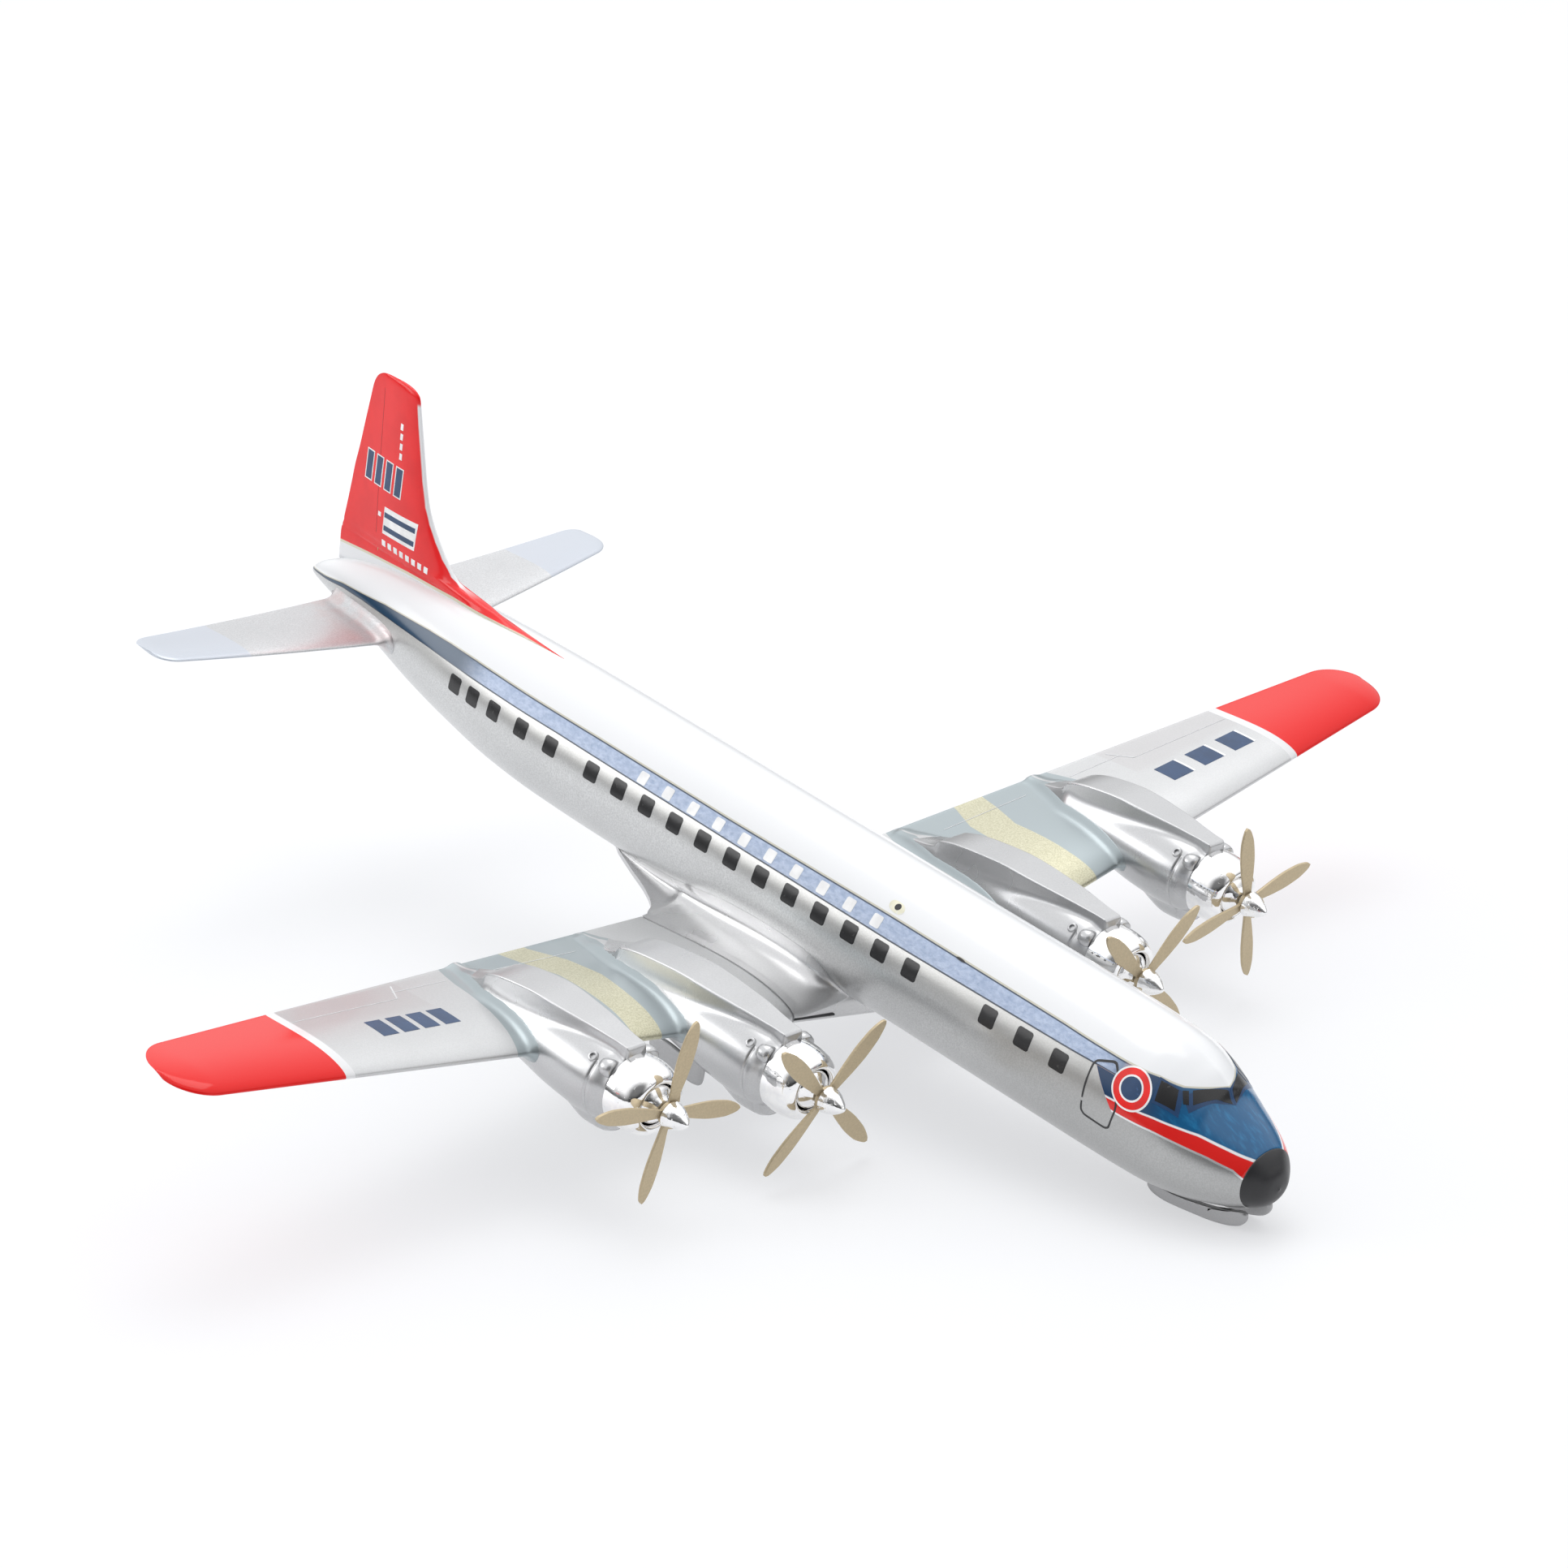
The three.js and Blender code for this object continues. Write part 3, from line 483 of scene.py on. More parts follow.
def cheatline_colour(paint, upper, lower, painted_sheen_area, wrinkle):
    """Navy line with a painted reflection: light and wrinkled amidships, standing in for the sky on the
    glossy decal, with a dark rim.
    """
    painted_sheen = paint.mix(paint.ramp(wrinkle, 0.28, 0.72), (0.33, 0.42, 0.6), (0.5, 0.59, 0.77))
    line = paint.mix(painted_sheen_area, (0.01, 0.05, 0.11), painted_sheen)
    rim = paint.math("MINIMUM", paint.minus(upper, paint.z), paint.minus(paint.z, lower))
    return paint.mix(paint.ramp(rim, 0.09, 0.16), (0.022, 0.04, 0.075), line)


def nose_bands(paint, colour, over_foot):
    """Blue over a red band with pale borders; returns the colour and where the red is."""
    streaks = paint.noise(1.1, 3.0, (2.2, 0.35, 1.2))
    bright = paint.mix(paint.ramp(streaks, 0.45, 0.8), (0.003, 0.095, 0.235), (0.012, 0.165, 0.36))
    nose_blue = paint.mix(paint.ramp(paint.y, 9.5, 15.5), bright, (0.01, 0.042, 0.11))
    slanted_end = paint.math("MULTIPLY_ADD", paint.z, 1.156, 16.15)
    ahead = paint.above(slanted_end, paint.y)
    clear = paint.minus(1.0, paint.both(over_foot, paint.above(paint.y, 17.5, 1.5)))
    red_foot, red_top = paint.curve(paint.y, RED_FOOT), paint.curve(paint.y, RED_TOP)
    layers = ((paint.minus(red_foot, BAND_BORDER), WHITE_TONE), (red_foot, RED_TONE),
              (paint.minus(red_top, BAND_BORDER), WHITE_TONE), (red_top, nose_blue))
    for edge, tone in layers:
        area = paint.both(paint.above(paint.z, edge), ahead)
        colour = paint.mix(paint.both(area, clear), colour, tone)
    return colour, paint.both(paint.above(paint.z, red_foot), ahead)


def livery_material():
    paint = Paint("fuselage_livery", Coat_Weight=0.12, Coat_Roughness=0.06)
    silver, grain = flake(paint, (0.59, 0.595, 0.595), 0.1)
    # Painted shade: the silver darkens upwards towards the cheatline and forwards towards the nose,
    # standing in for the dark surroundings that it reflects there.
    silver = paint.mix(paint.ramp(paint.z, 0.8, 3.6, 0.0, 0.6), silver, (0.36, 0.355, 0.34))
    silver = paint.mix(paint.ramp(paint.y, 62, 18, 0.0, 0.5), silver, (0.29, 0.29, 0.285))
    upper, lower = paint.curve(paint.y, CHEATLINE_TOP), paint.curve(paint.y, CHEATLINE_FOOT)
    over_line, over_foot = paint.above(paint.z, upper), paint.above(paint.z, lower)
    wrinkle = paint.noise(2.2, 4.0, (1, 0.55, 1), 0.6)
    # Painted reflection: where the cheatline is drawn light and wrinkled instead of navy.
    painted_sheen_area = paint.both(paint.ramp(paint.y, 15.5, 22), paint.ramp(paint.y, 134, 126))
    line = cheatline_colour(paint, upper, lower, painted_sheen_area, wrinkle)
    colour, red = nose_bands(paint, paint.mix(over_foot, silver, line), over_foot)
    roof = paint.both(over_line, paint.above(paint.y, 8.95))
    roof_edge = paint.above(paint.z, paint.math("ADD", upper, 0.14))
    colour = paint.mix(roof, colour, paint.mix(roof_edge, (0.62, 0.6, 0.5), WHITE_TONE))
    painted = paint.math("MAXIMUM", over_foot, red)
    in_line = paint.both(paint.both(over_foot, painted_sheen_area), paint.minus(1.0, over_line))
    height = paint.math("ADD", paint.both(grain, paint.blend(painted, 0.3, 0.0)),
                        paint.both(wrinkle, paint.both(in_line, 4.0)))
    paint.bump(height, 0.05, 0.6)
    return paint.done(colour, paint.blend(painted, 0.31, 0.16), paint.blend(painted, 0.8, 0.0))


CHORD_RANGE = (60, 89)  # distances aft that the tables across the wing run over
GREY_PANEL = [  # inner and outer edge of the grey-green panel, by distance aft
    [(60, 17.6), (64, 18.0), (68.5, 18.6), (73.6, 19.3), (78.3, 20.4), (82, 22.4), (89, 25.0)],
    [(60, 53.4), (64.6, 52.8), (67.6, 51.9), (71.8, 50.9), (76.8, 50.0), (79.6, 49.6), (82, 49.0),
     (89, 47.0)],
]
GOLD_PANEL = [  # the same for the beige panel between the engines
    [(60, 33.3), (63, 33.0), (66.5, 32.5), (70.4, 32.1), (75.4, 31.5), (80.5, 32.2), (85, 34.2),
     (89, 35.4)],
    [(60, 37.0), (63.3, 36.9), (67.6, 36.6), (77, 36.4), (81.8, 37.9), (84.8, 38.6), (89, 39.4)],
]
BARE_ROOT = {  # half width of the bare metal beside each nacelle, by distance aft
    "outer_left": [(60, 4.0), (64, 3.5), (68, 2.5), (72, 1.6), (76, 0.9), (79, 0.3), (89, 0.0)],
    "inner_left": [(60, 4.2), (64, 3.8), (68, 3.2), (72, 2.5), (77, 2.0), (80, 1.2), (83, 0.2), (89, 0.0)],
}
TIP_WHITE_X = 74.0
TIP_RED_X = 75.2


def wing_material():
    paint = Paint("wing_lacquer", Coat_Weight=0.25, Coat_Roughness=0.1)
    silver, grain = flake(paint, WING_TONE, 0.03)
    x, y = paint.across, paint.y

    def between(inner, outer):
        return paint.both(paint.above(x, inner, 0.06), paint.above(outer, x, 0.06))

    def across_wing(table):
        return paint.curve(y, table, *CHORD_RANGE)

    beige = paint.mix(paint.ramp(grain, 0.35, 0.65), (0.5, 0.48, 0.335), (0.63, 0.61, 0.46))
    colour = paint.mix(between(*map(across_wing, GREY_PANEL)), silver, (0.37, 0.42, 0.437))
    colour = paint.mix(between(*map(across_wing, GOLD_PANEL)), colour, beige)
    warm = paint.both(between(56.0, TIP_WHITE_X), paint.ramp(y, 74.5, 76.5, 0.0, 0.3))
    colour = paint.mix(warm, colour, (0.5, 0.47, 0.475))
    for engine, half_width in BARE_ROOT.items():
        near = paint.math("ABSOLUTE", paint.minus(x, ENGINES[engine][0]))
        colour = paint.mix(paint.above(across_wing(half_width), near, 0.05), colour, silver)
    painted = paint.above(x, TIP_WHITE_X)
    colour = paint.mix(painted, colour, (0.8, 0.8, 0.81))
    # Red tip paint with a painted reflection: lighter and pinker towards the trailing edge.
    tip_red_and_painted_sheen = paint.mix(paint.ramp(y, 68.5, 80.0), (0.78, 0.004, 0.003), (0.78, 0.03, 0.026))
    colour = paint.mix(paint.above(x, TIP_RED_X), colour, tip_red_and_painted_sheen)
    paint.put(paint.shader.inputs["Specular IOR Level"], paint.blend(painted, 0.5, 0.2))
    return paint.done(colour, paint.blend(painted, 0.36, 0.12), paint.blend(painted, 0.75, 0))


TAIL_TIP_PAINT_X = 24.2
FIN_FRONT = [  # leading edge of the fin by height
    (9.9, 138.0), (10.3, 141.2), (10.98, 143.0), (12.56, 145.0), (14.29, 146.6), (16.1, 148.0),
    (18.05, 149.1), (21.2, 150.1), (24.4, 150.9), (28, 151.8), (31.0, 152.5),
]
FIN_TRIM = 0.35  # width of the pale lines along the red
FIN_RED_FOOT = [  # height of the red's lower edge, by distance aft
    (118, 8.9), (129, 9.1), (136, 9.1), (142, 9.0), (151.5, 8.5), (160, 7.75), (166, 7.1), (171, 6.6),
]


def silver_material(name, tone, roughness, contrast=0.12):
    paint = Paint(name, Coat_Weight=0.2, Coat_Roughness=0.12, Metallic=0.85)
    colour, _ = flake(paint, tone, contrast)
    wear = paint.noise(0.12, 2.0)
    return paint.done(colour, paint.ramp(wear, 0.3, 0.7, roughness - 0.02, roughness + 0.03))


def tailplane_material():
    paint = Paint("tailplane_lacquer", Coat_Weight=0.2, Coat_Roughness=0.12)
    silver, grain = flake(paint, (0.58, 0.59, 0.6), 0.08)
    tip = paint.above(paint.across, TAIL_TIP_PAINT_X)
    colour = paint.mix(tip, silver, (0.56, 0.60, 0.66))
    root = paint.both(paint.ramp(paint.across, 13, 4), paint.ramp(paint.noise(0.3), 0.4, 0.7, 0.0, 0.35))
    colour = paint.mix(root, colour, (0.6, 0.35, 0.33))
    paint.bump(grain, 0.012, 0.5)
    return paint.done(colour, paint.blend(tip, 0.4, 0.3), paint.blend(tip, 0.7, 0.35))


def fin_material():
    paint = Paint("fin_livery", Coat_Weight=0.15, Coat_Roughness=0.06)
    paint.shader.inputs["Specular IOR Level"].default_value = 0.35
    front = paint.curve(paint.z, FIN_FRONT, 9.9, 31)
    edge = paint.above(paint.math("ADD", front, FIN_TRIM), paint.y, 0.1)
    span = paint.both(paint.above(paint.z, 10.2, 0.3), paint.above(30.6, paint.z, 0.3))
    base = paint.curve(paint.y, FIN_RED_FOOT, 118, 171)
    mottle = paint.ramp(paint.noise(0.25, 3.0), 0.35, 0.7)
    red = paint.mix(mottle, (0.88, 0.014, 0.016), (0.8, 0.011, 0.013))
    colour = paint.mix(paint.both(edge, span), red, WHITE_TONE)
    colour = paint.mix(paint.above(paint.z, base), (0.74, 0.7, 0.55), colour)
    low = paint.above(paint.minus(base, FIN_TRIM), paint.z)
    colour = paint.mix(low, colour, WHITE_TONE)
    paint.bump(paint.noise(2.2, 3.0), 0.01, 0.4)
    return paint.done(colour, 0.2)


def speckled(name, base, speck, scale, low, roughness, bump=0.02):
    """Plain paint with sparse specks and a slight texture."""
    paint = Paint(name)
    dots = paint.ramp(paint.noise(scale, 1.0), low, low + 0.05)
    lighter = tuple(min(1, c * 1.25) for c in base)
    cloud = paint.mix(paint.ramp(paint.noise(0.5, 3.0), 0.3, 0.7), base, lighter)
    paint.bump(paint.noise(3.0, 4.0), bump, 0.5)
    return paint.done(paint.mix(dots, cloud, speck), roughness)


def inked(name, base, speck, low=0.7, roughness=0.3):
    """Thin printed ink or paint, almost smooth."""
    return speckled(name, base, speck, 2.0, low, roughness, 0.005)


def brushed(name, tone, roughness, stretch, metallic=1.0, contrast=0.1):
    paint = Paint(name, Metallic=metallic)
    lines = paint.noise(4.0, 3.0, stretch)
    dark = tuple(c * (1 - contrast) for c in tone)
    colour = paint.mix(paint.ramp(lines, 0.3, 0.7), dark, tone)
    paint.bump(lines, 0.006, 0.4)
    return paint.done(colour, paint.ramp(lines, 0.3, 0.7, roughness, roughness + 0.08))


def plated(name, roughness, relief):
    """Polished nickel with faint ripples and a few pits left in the casting."""
    paint = Paint(name, Metallic=1.0)
    ripple = paint.noise(0.7, 3.0)
    pits = paint.ramp(paint.noise(2.4, 2.0), 0.64, 0.72, 1.0, 0.55)
    paint.bump(paint.math("ADD", ripple, pits), relief * 6, 0.6)
    tone = paint.mix(paint.ramp(paint.noise(1.2, 4.0), 0.3, 0.7), (0.88, 0.88, 0.89), (0.95, 0.945, 0.935))
    return paint.done(tone, paint.ramp(ripple, 0.3, 0.7, roughness, roughness + 0.05))


LIVERY = livery_material()
WING = wing_material()
SILVER = silver_material("nacelle_silver", (0.54, 0.543, 0.55), 0.28, 0.03)
FAIRING = silver_material("fairing_silver", (0.6, 0.6, 0.605), 0.28, 0.03)
# Painted shade: a darker copy of the silver for the gear doors, which stand in shade under the aircraft.
SHADED_DOOR_SILVER = silver_material("door_silver_painted_shade", (0.42, 0.42, 0.425), 0.34, 0.03)
TAILPLANE = tailplane_material()
FIN = fin_material()
RADOME = speckled("radome_black", (0.015, 0.015, 0.017), (0.5, 0.5, 0.5), 2.6, 0.79, 0.36)
GLASS = inked("window_black", (0.012, 0.012, 0.013), (0.05, 0.05, 0.05), 0.7, 0.22)
INK = inked("line_black", (0.02, 0.02, 0.022), (0.05, 0.05, 0.05), 0.7, 0.4)
WHITE = inked("mark_white", (0.84, 0.845, 0.85), (0.7, 0.7, 0.7), 0.75, 0.25)
MARK_RED = inked("mark_red", RED_TONE, (0.5, 0.01, 0.01), 0.75, 0.2)
MARK_NAVY = inked("mark_navy", NAVY_TONE, (0.03, 0.08, 0.2))
STAIN = inked("roof_stain", (0.72, 0.7, 0.55), (0.8, 0.8, 0.72), 0.6)
HINGE = inked("hinge_line", (0.42, 0.01, 0.01), (0.5, 0.02, 0.02), 0.7, 0.4)
SCRIBE = inked("scribed_line", (0.6, 0.61, 0.62), (0.5, 0.5, 0.52), 0.7, 0.35)
CHROME = plated("cowling_chrome", 0.05, 0.006)
PLATED = plated("spinner_plate", 0.1, 0.03)
BRASS = brushed("etched_brass", (0.58, 0.48, 0.32), 0.46, (1, 1, 1), 0.5, 0.12)
STEEL = brushed("wire_steel", (0.55, 0.56, 0.58), 0.3, (0.3, 3, 3))
PIN = brushed("pin_brass", (0.62, 0.48, 0.26), 0.3, (0.3, 3, 3))
TYRE = speckled("tyre_rubber", (0.02, 0.02, 0.021), (0.06, 0.06, 0.06), 1.5, 0.7, 0.7, 0.03)
LEG = silver_material("gear_grey", (0.42, 0.45, 0.48), 0.35)


# ---- fuselage ----
def make_fuselage():
    stations = np.unique(np.concatenate([
        RADOME_END + (24 - RADOME_END) * np.linspace(0, 1, 110), np.linspace(24, 112, 70),
        np.linspace(112, 160, 60), 160 + (LENGTH - 160) * np.sin(np.linspace(0, np.pi / 2, 28)),
    ]))
    angle = np.linspace(0, 2 * np.pi, 160, endpoint=False)
    body = lofted("fuselage_shell", skin(stations[:, None], angle[None, :]), LIVERY)
    finish_piece(body, "fuselage_paint", "fuselage_left_half", "fuselage_right_half")


def make_radome():
    stations = RADOME_END * (1 - np.cos(np.linspace(0, np.pi / 2, 28)))
    angle = np.linspace(0, 2 * np.pi, 120, endpoint=False)
    rings = skin(stations[:, None], angle[None, :]) - (0, RADOME_GAP, 0)
    finish_piece(lofted("nose_radome_cap", rings, RADOME), "radome_black", "nose_radome")


def patch(name, outline, side, material, lift=0.02, rings=5, by_angle=False):
    """Thin decal on the fuselage: outline is (y, z) points, or (y, degrees from the top)."""
    outline = np.array(outline, float)
    centre = outline.mean(0)
    shrunk = [centre + (outline - centre) * k / rings for k in range(1, rings + 1)]
    grid = np.concatenate(shrunk + [centre[None]])
    if by_angle:
        points = lifted(grid[:, 0], side * np.radians(grid[:, 1]), lift)
    else:
        points = on_skin(grid[:, 0], grid[:, 1], side, lift)
    n = len(outline)
    faces = loft_faces(rings, n)
    faces += [(rings * n, i, (i + 1) % n) for i in range(n)]
    return piece(name, points, faces, material)


def ribbon(name, line, width, side, material, lift=0.025):
    """Painted line of one width round closed (y, z) points on the fuselage side."""
    line = np.array(line, float)
    along = np.roll(line, -1, 0) - np.roll(line, 1, 0)
    along /= np.linalg.norm(along, axis=1, keepdims=True)
    across = np.stack([-along[:, 1], along[:, 0]], 1) * width / 2
    rows = [on_skin(*(line + across * edge).T, side, lift) for edge in (-1, 1)]
    return piece(name, rows, loft_faces(2, len(line)), material)


def joined(name, members):
    """One object from several, so that repeated marks stay one piece."""
    mesh_editor = bmesh.new()
    for member in members:
        mesh_editor.from_mesh(member.data)
    mesh = bpy.data.meshes.new(name)
    mesh_editor.to_mesh(mesh)
    mesh_editor.free()
    mesh.materials.append(members[0].data.materials[0])
    for member in members:
        bpy.data.objects.remove(member)
    return placed(name, mesh)


WINDOWS = [  # centres, as distance aft and height
    (26.4, 3.1), (31.9, 3.1), (37.45, 3.1), *((49.9 + 5.05 * i, 2.95 - 0.01 * i) for i in range(12)),
    (113.2, 2.8), (118.8, 2.69), (124.4, 2.54), (128.8, 2.45), (132.7, 2.4),
]
WINDOW_SIZE = (2.35, 2.15)
DOOR_LINE_WIDTH = 0.24
FRONT_DOOR = [
    (22.15, 5.07), (19.7, 5.87), (18.33, 4.61), (17.21, 1.8), (17.69, -1.02), (21.74, -0.8), (22.0, 2.4),
]


def add_decal(name, members, slot="radome_black"):
    """Finish painted members as one piece of the airframe."""
    finish_piece(joined(name, members), slot)


def box_outline(y, z, width, height, times=4):
    """Upright rectangle round (y, z) with rounded corners."""
    corners = [(-1, -1), (1, -1), (1, 1), (-1, 1)]
    return soften([(y + a * width / 2, z + b * height / 2) for a, b in corners], times, 0.9)


def make_windows():
    for label, side in SIDES:
        panes = [patch("pane", box_outline(y, z, *WINDOW_SIZE), side, GLASS) for y, z in WINDOWS]
        add_decal(f"cabin_windows_{label}", panes)
        door = ribbon(f"door_line_{label}", soften(FRONT_DOOR, 3, 0.88), DOOR_LINE_WIDTH, side, INK)
        finish_piece(door, "radome_black")


def corner_grid(corners, steps):
    """Grid of points between the four corners of an outline."""
    a, b, c, d = np.array(corners, float)
    u = np.linspace(0, 1, steps + 1)[:, None, None]
    v = np.linspace(0, 1, steps + 1)[None, :, None]
    return (a * (1 - u) + b * u) * (1 - v) + (d * (1 - u) + c * u) * v


def sheet(name, points, material):
    """Open sheet over a square grid of points."""
    return piece(name, points, loft_faces(*points.shape[:2], False), material)


def plan_patch(name, corners, side, material, lift, steps=16):
    """Four-cornered decal on the fuselage top whose edges are straight seen from above, as (y, x)."""
    grid = corner_grid(corners, steps)
    width = fuselage_at(grid[..., 0])[..., 2]
    angle = np.arcsin(np.clip(grid[..., 1] / width, -0.999, 0.999))
    return sheet(name, lifted(grid[..., 0], side * angle, lift), material)


COCKPIT_FRAME = [  # corners as distance aft and span, seen from above
    [(11.55, 4.65), (9.02, 0.03), (7.85, 0.03), (10.0, 5.0)],
    [(14.55, 5.2), (11.6, 4.35), (10.6, 5.95), (13.75, 6.95)],
]
COCKPIT_PANES = [
    [(14.2, 5.33), (12.2, 4.62), (11.25, 5.9), (13.55, 6.72)],
    [(11.88, 4.35), (11.42, 3.9), (10.5, 4.62), (11.0, 5.0)],
    [(11.15, 3.55), (8.9, 0.3), (8.05, 0.3), (10.18, 4.3)],
]


def make_cockpit():
    """Blackened side and front panes, with a dark surround under the front ones."""
    for label, side in SIDES:
        bed = [plan_patch("bed", corners, side, MARK_NAVY, 0.02) for corners in COCKPIT_FRAME]
        add_decal(f"cockpit_frame_{label}", bed)
        glass = [plan_patch("pane", corners, side, GLASS, 0.045) for corners in COCKPIT_PANES]
        add_decal(f"cockpit_glass_{label}", glass)


def disc(centre, radius, side, material, lift):
    """Round mark on the fuselage; degrees of angle are stretched to keep it round."""
    turn = np.linspace(0, 2 * np.pi, 64, endpoint=False)
    outline = np.stack([centre[0] + radius * np.cos(turn), centre[1] + 6.5 * radius * np.sin(turn)], -1)
    return patch("disc", outline, side, material, lift, 6, True)


DASHES_Y = np.linspace(57.2, 97.6, 10)
DASH_SIZE = (1.5, 1.24)
TARGET_CENTRE = (16.5, 58.0)  # distance aft and degrees from the top
TARGET_RINGS = [(2.5, WHITE, 0.03), (2.28, MARK_RED, 0.04), (1.5, WHITE, 0.05), (1.28, MARK_NAVY, 0.06)]


def make_marks():
    """Plain stand-ins for the airline's marks: a target, a row of dashes, bars and a banded panel."""
    for label, side in SIDES:
        for i, (radius, material, lift) in enumerate(TARGET_RINGS):
            ring = disc(TARGET_CENTRE, radius, side, material, lift)
            add_decal(f"nose_target_{i}_{label}", [ring], "fuselage_paint")
        dashes = []
        for y in DASHES_Y:
            outline = box_outline(y, 5.39 - 0.0035 * (y - 54), *DASH_SIZE, 3)
            dashes.append(patch("dash", outline, side, WHITE, 0.035, 3))
        add_decal(f"cheatline_dashes_{label}", dashes, "fuselage_paint")
        make_fin_marks(label, side)
        make_wing_bars(label, side)
    make_blemishes()


def make_blemishes():
    """Small stain, dot and chip that the right side of the roof carries."""
    stain = soften([(54.7, 42), (57.1, 41), (57.3, 32), (54.9, 33)], 3)
    add_decal("roof_stain", [patch("stain", stain, -1, STAIN, 0.02, 4, True)], "fuselage_paint")
    add_decal("roof_dot", [disc((55.9, 36.5), 0.42, -1, INK, 0.05)])
    chip = soften([(43.6, 46.5), (45.2, 46.2), (45.0, 44.3), (43.9, 44.4)], 2)
    add_decal("cheatline_chip", [patch("chip", chip, -1, INK, 0.06, 3, True)])


def fin_patch(corners, side, material, lift, steps):
    """Four-cornered decal on the fin, corners in (y, z) order round the outline."""
    grid = corner_grid(corners, steps)
    return sheet("fin_patch", on_fin(grid[..., 0], grid[..., 1], side, lift), material)


def fin_box(y, z, half, height):
    """Corners of an upright box on the fin that stands on (y, z)."""
    return [(y + half, z), (y - half, z), (y - half, z + height), (y + half, z + height)]


FIN_BORDER = 0.17
FIN_PANEL = [(157.0, 11.6), (150.2, 11.9), (150.0, 15.6), (156.9, 15.3)]
RUDDER_LINE = [(158.4, 11.2), (158.3, 11.2), (159.2, 30.5), (159.3, 30.5)]
FIN_DASHES = [*(fin_box(y, 9.9, 0.38, 0.85) for y in np.linspace(156.6, 147.6, 8)),
              *(fin_box(154.9 - 0.1 * i, 26.5 - 1.3 * i, 0.25, 0.85) for i in range(4)),
              fin_box(157.9, 13.6, 0.3, 0.6)]


def make_fin_marks(label, side):
    """Bordered bars, a banded panel, dashes and the rudder's hinge line."""
    bars = [[(y + 0.62, 17.6), (y - 0.62, 17.6), (y - 0.75, 21.4), (y + 0.5, 21.4)]
            for y in np.linspace(161.0, 154.6, 4)]
    grown = np.array(bars) + FIN_BORDER * np.array([(1, -1), (-1, -1), (-1, 1), (1, 1)])
    bands = [[(156.8, z), (150.4, z + 0.28), (150.4, z + 0.98), (156.8, z + 0.7)] for z in (12.1, 13.9)]
    marks = (("bar_borders", grown, WHITE, 0.02, 8), ("bars", bars, MARK_NAVY, 0.035, 8),
             ("panel", [FIN_PANEL], WHITE, 0.02, 8), ("panel_bands", bands, MARK_NAVY, 0.035, 8),
             ("dashes", FIN_DASHES, WHITE, 0.02, 3))
    for name, outlines, material, lift, steps in marks:
        patches = [fin_patch(corners, side, material, lift, steps) for corners in outlines]
        add_decal(f"fin_{name}_{label}", patches, "tail_red")
    add_decal(f"rudder_line_{label}", [fin_patch(RUDDER_LINE, side, HINGE, 0.012, 24)], "tail_red")


def wing_patch(corners, side, material, lift=0.025, steps=10):
    """Four-cornered decal on the upper wing, corners in (span, y)."""
    grid = corner_grid(corners, steps)
    points = on_wing(grid[..., 0], grid[..., 1], lift) * (side, 1, 1)
    return sheet("wing_patch", points, material)


def on_wing(x, y, lift):
    front, rear = wing_edges(x)
    point = wing_point(x, np.clip((y - front) / (rear - front), 0, 1), 1)
    point[..., 2] += lift
    return point


WING_BARS = {1: (1.7, np.linspace(59.6, 70.4, 3)), -1: (1.05, np.linspace(56.8, 65.4, 4))}
WING_BAR_Y = (71.0, 74.6)
WING_BAR_EDGE = 0.35
SCRIBED_LINES = [  # corners as span and distance aft, lift and steps
    ([(58.5, 78.6), (73.8, 77.6), (73.8, 77.69), (58.5, 78.69)], 0.025, 10),
    ([(58.5, 78.6), (56.8, 81.9), (57.0, 81.9), (58.7, 78.6)], 0.025, 10),
    ([(29.5, 82.2), (42.5, 81.3), (42.5, 81.39), (29.5, 82.29)], 0.03, 30),
    ([(49.6, 80.8), (58.0, 80.3), (58.0, 80.39), (49.6, 80.89)], 0.025, 10),
]


def wing_bar(inner, outer, side, material):
    front, rear = WING_BAR_Y
    return wing_patch([(inner, front), (outer, front), (outer, rear), (inner, rear)], side, material)


def make_wing_bars(label, side):
    """Navy bars, edged in white on the left wing only, and thin scribed lines."""
    half, centres = WING_BARS[side]
    bars = [wing_bar(x - half, x + half, side, MARK_NAVY) for x in centres]
    add_decal(f"wing_bars_{label}", bars, "silver_lacquer")
    if side > 0:
        edges = [wing_bar(x + half, x + half + WING_BAR_EDGE, side, WHITE) for x in centres]
        add_decal("wing_bar_edges_left", edges, "silver_lacquer")
    lines = [wing_patch(corners, side, SCRIBE, lift, steps) for corners, lift, steps in SCRIBED_LINES]
    add_decal(f"wing_panel_lines_{label}", lines, "silver_lacquer")


# ---- tail ----
fin_at = profile([  # height, leading edge, trailing edge, half thickness
    [8.2, 119.5, 165.9, 1.52], [9.01, 121.3, 165.8, 1.27], [9.08, 125.2, 165.7, 1.25],
    [9.13, 128.5, 165.7, 1.25], [9.27, 131.9, 165.7, 1.25], [9.71, 135.4, 165.6, 1.22],
    [10.02, 138.6, 165.5, 1.2], [10.3, 141.2, 165.5, 1.2], [10.98, 143.0, 165.4, 1.18],
    [12.56, 145.0, 165.1, 1.14],
    [14.29, 146.6, 164.8, 1.1], [16.1, 148.0, 164.5, 1.05], [18.05, 149.1, 164.2, 1.0],
    [21.2, 150.1, 163.5, 0.92], [24.4, 150.9, 162.9, 0.82], [28, 151.8, 162.2, 0.72],
    [30.4, 152.4, 161.7, 0.64], [31.5, 152.75, 161.1, 0.55], [32.1, 153.6, 160.3, 0.42],
    [32.4, 155.0, 159.2, 0.25], [32.47, 156.5, 158.2, 0.06],
])
SPINE_FRONT, SPINE_TAPER = 120.4, 16  # the fin's dorsal spine thickens over this length from its front
TAIL_ROUNDING_X = 33.5


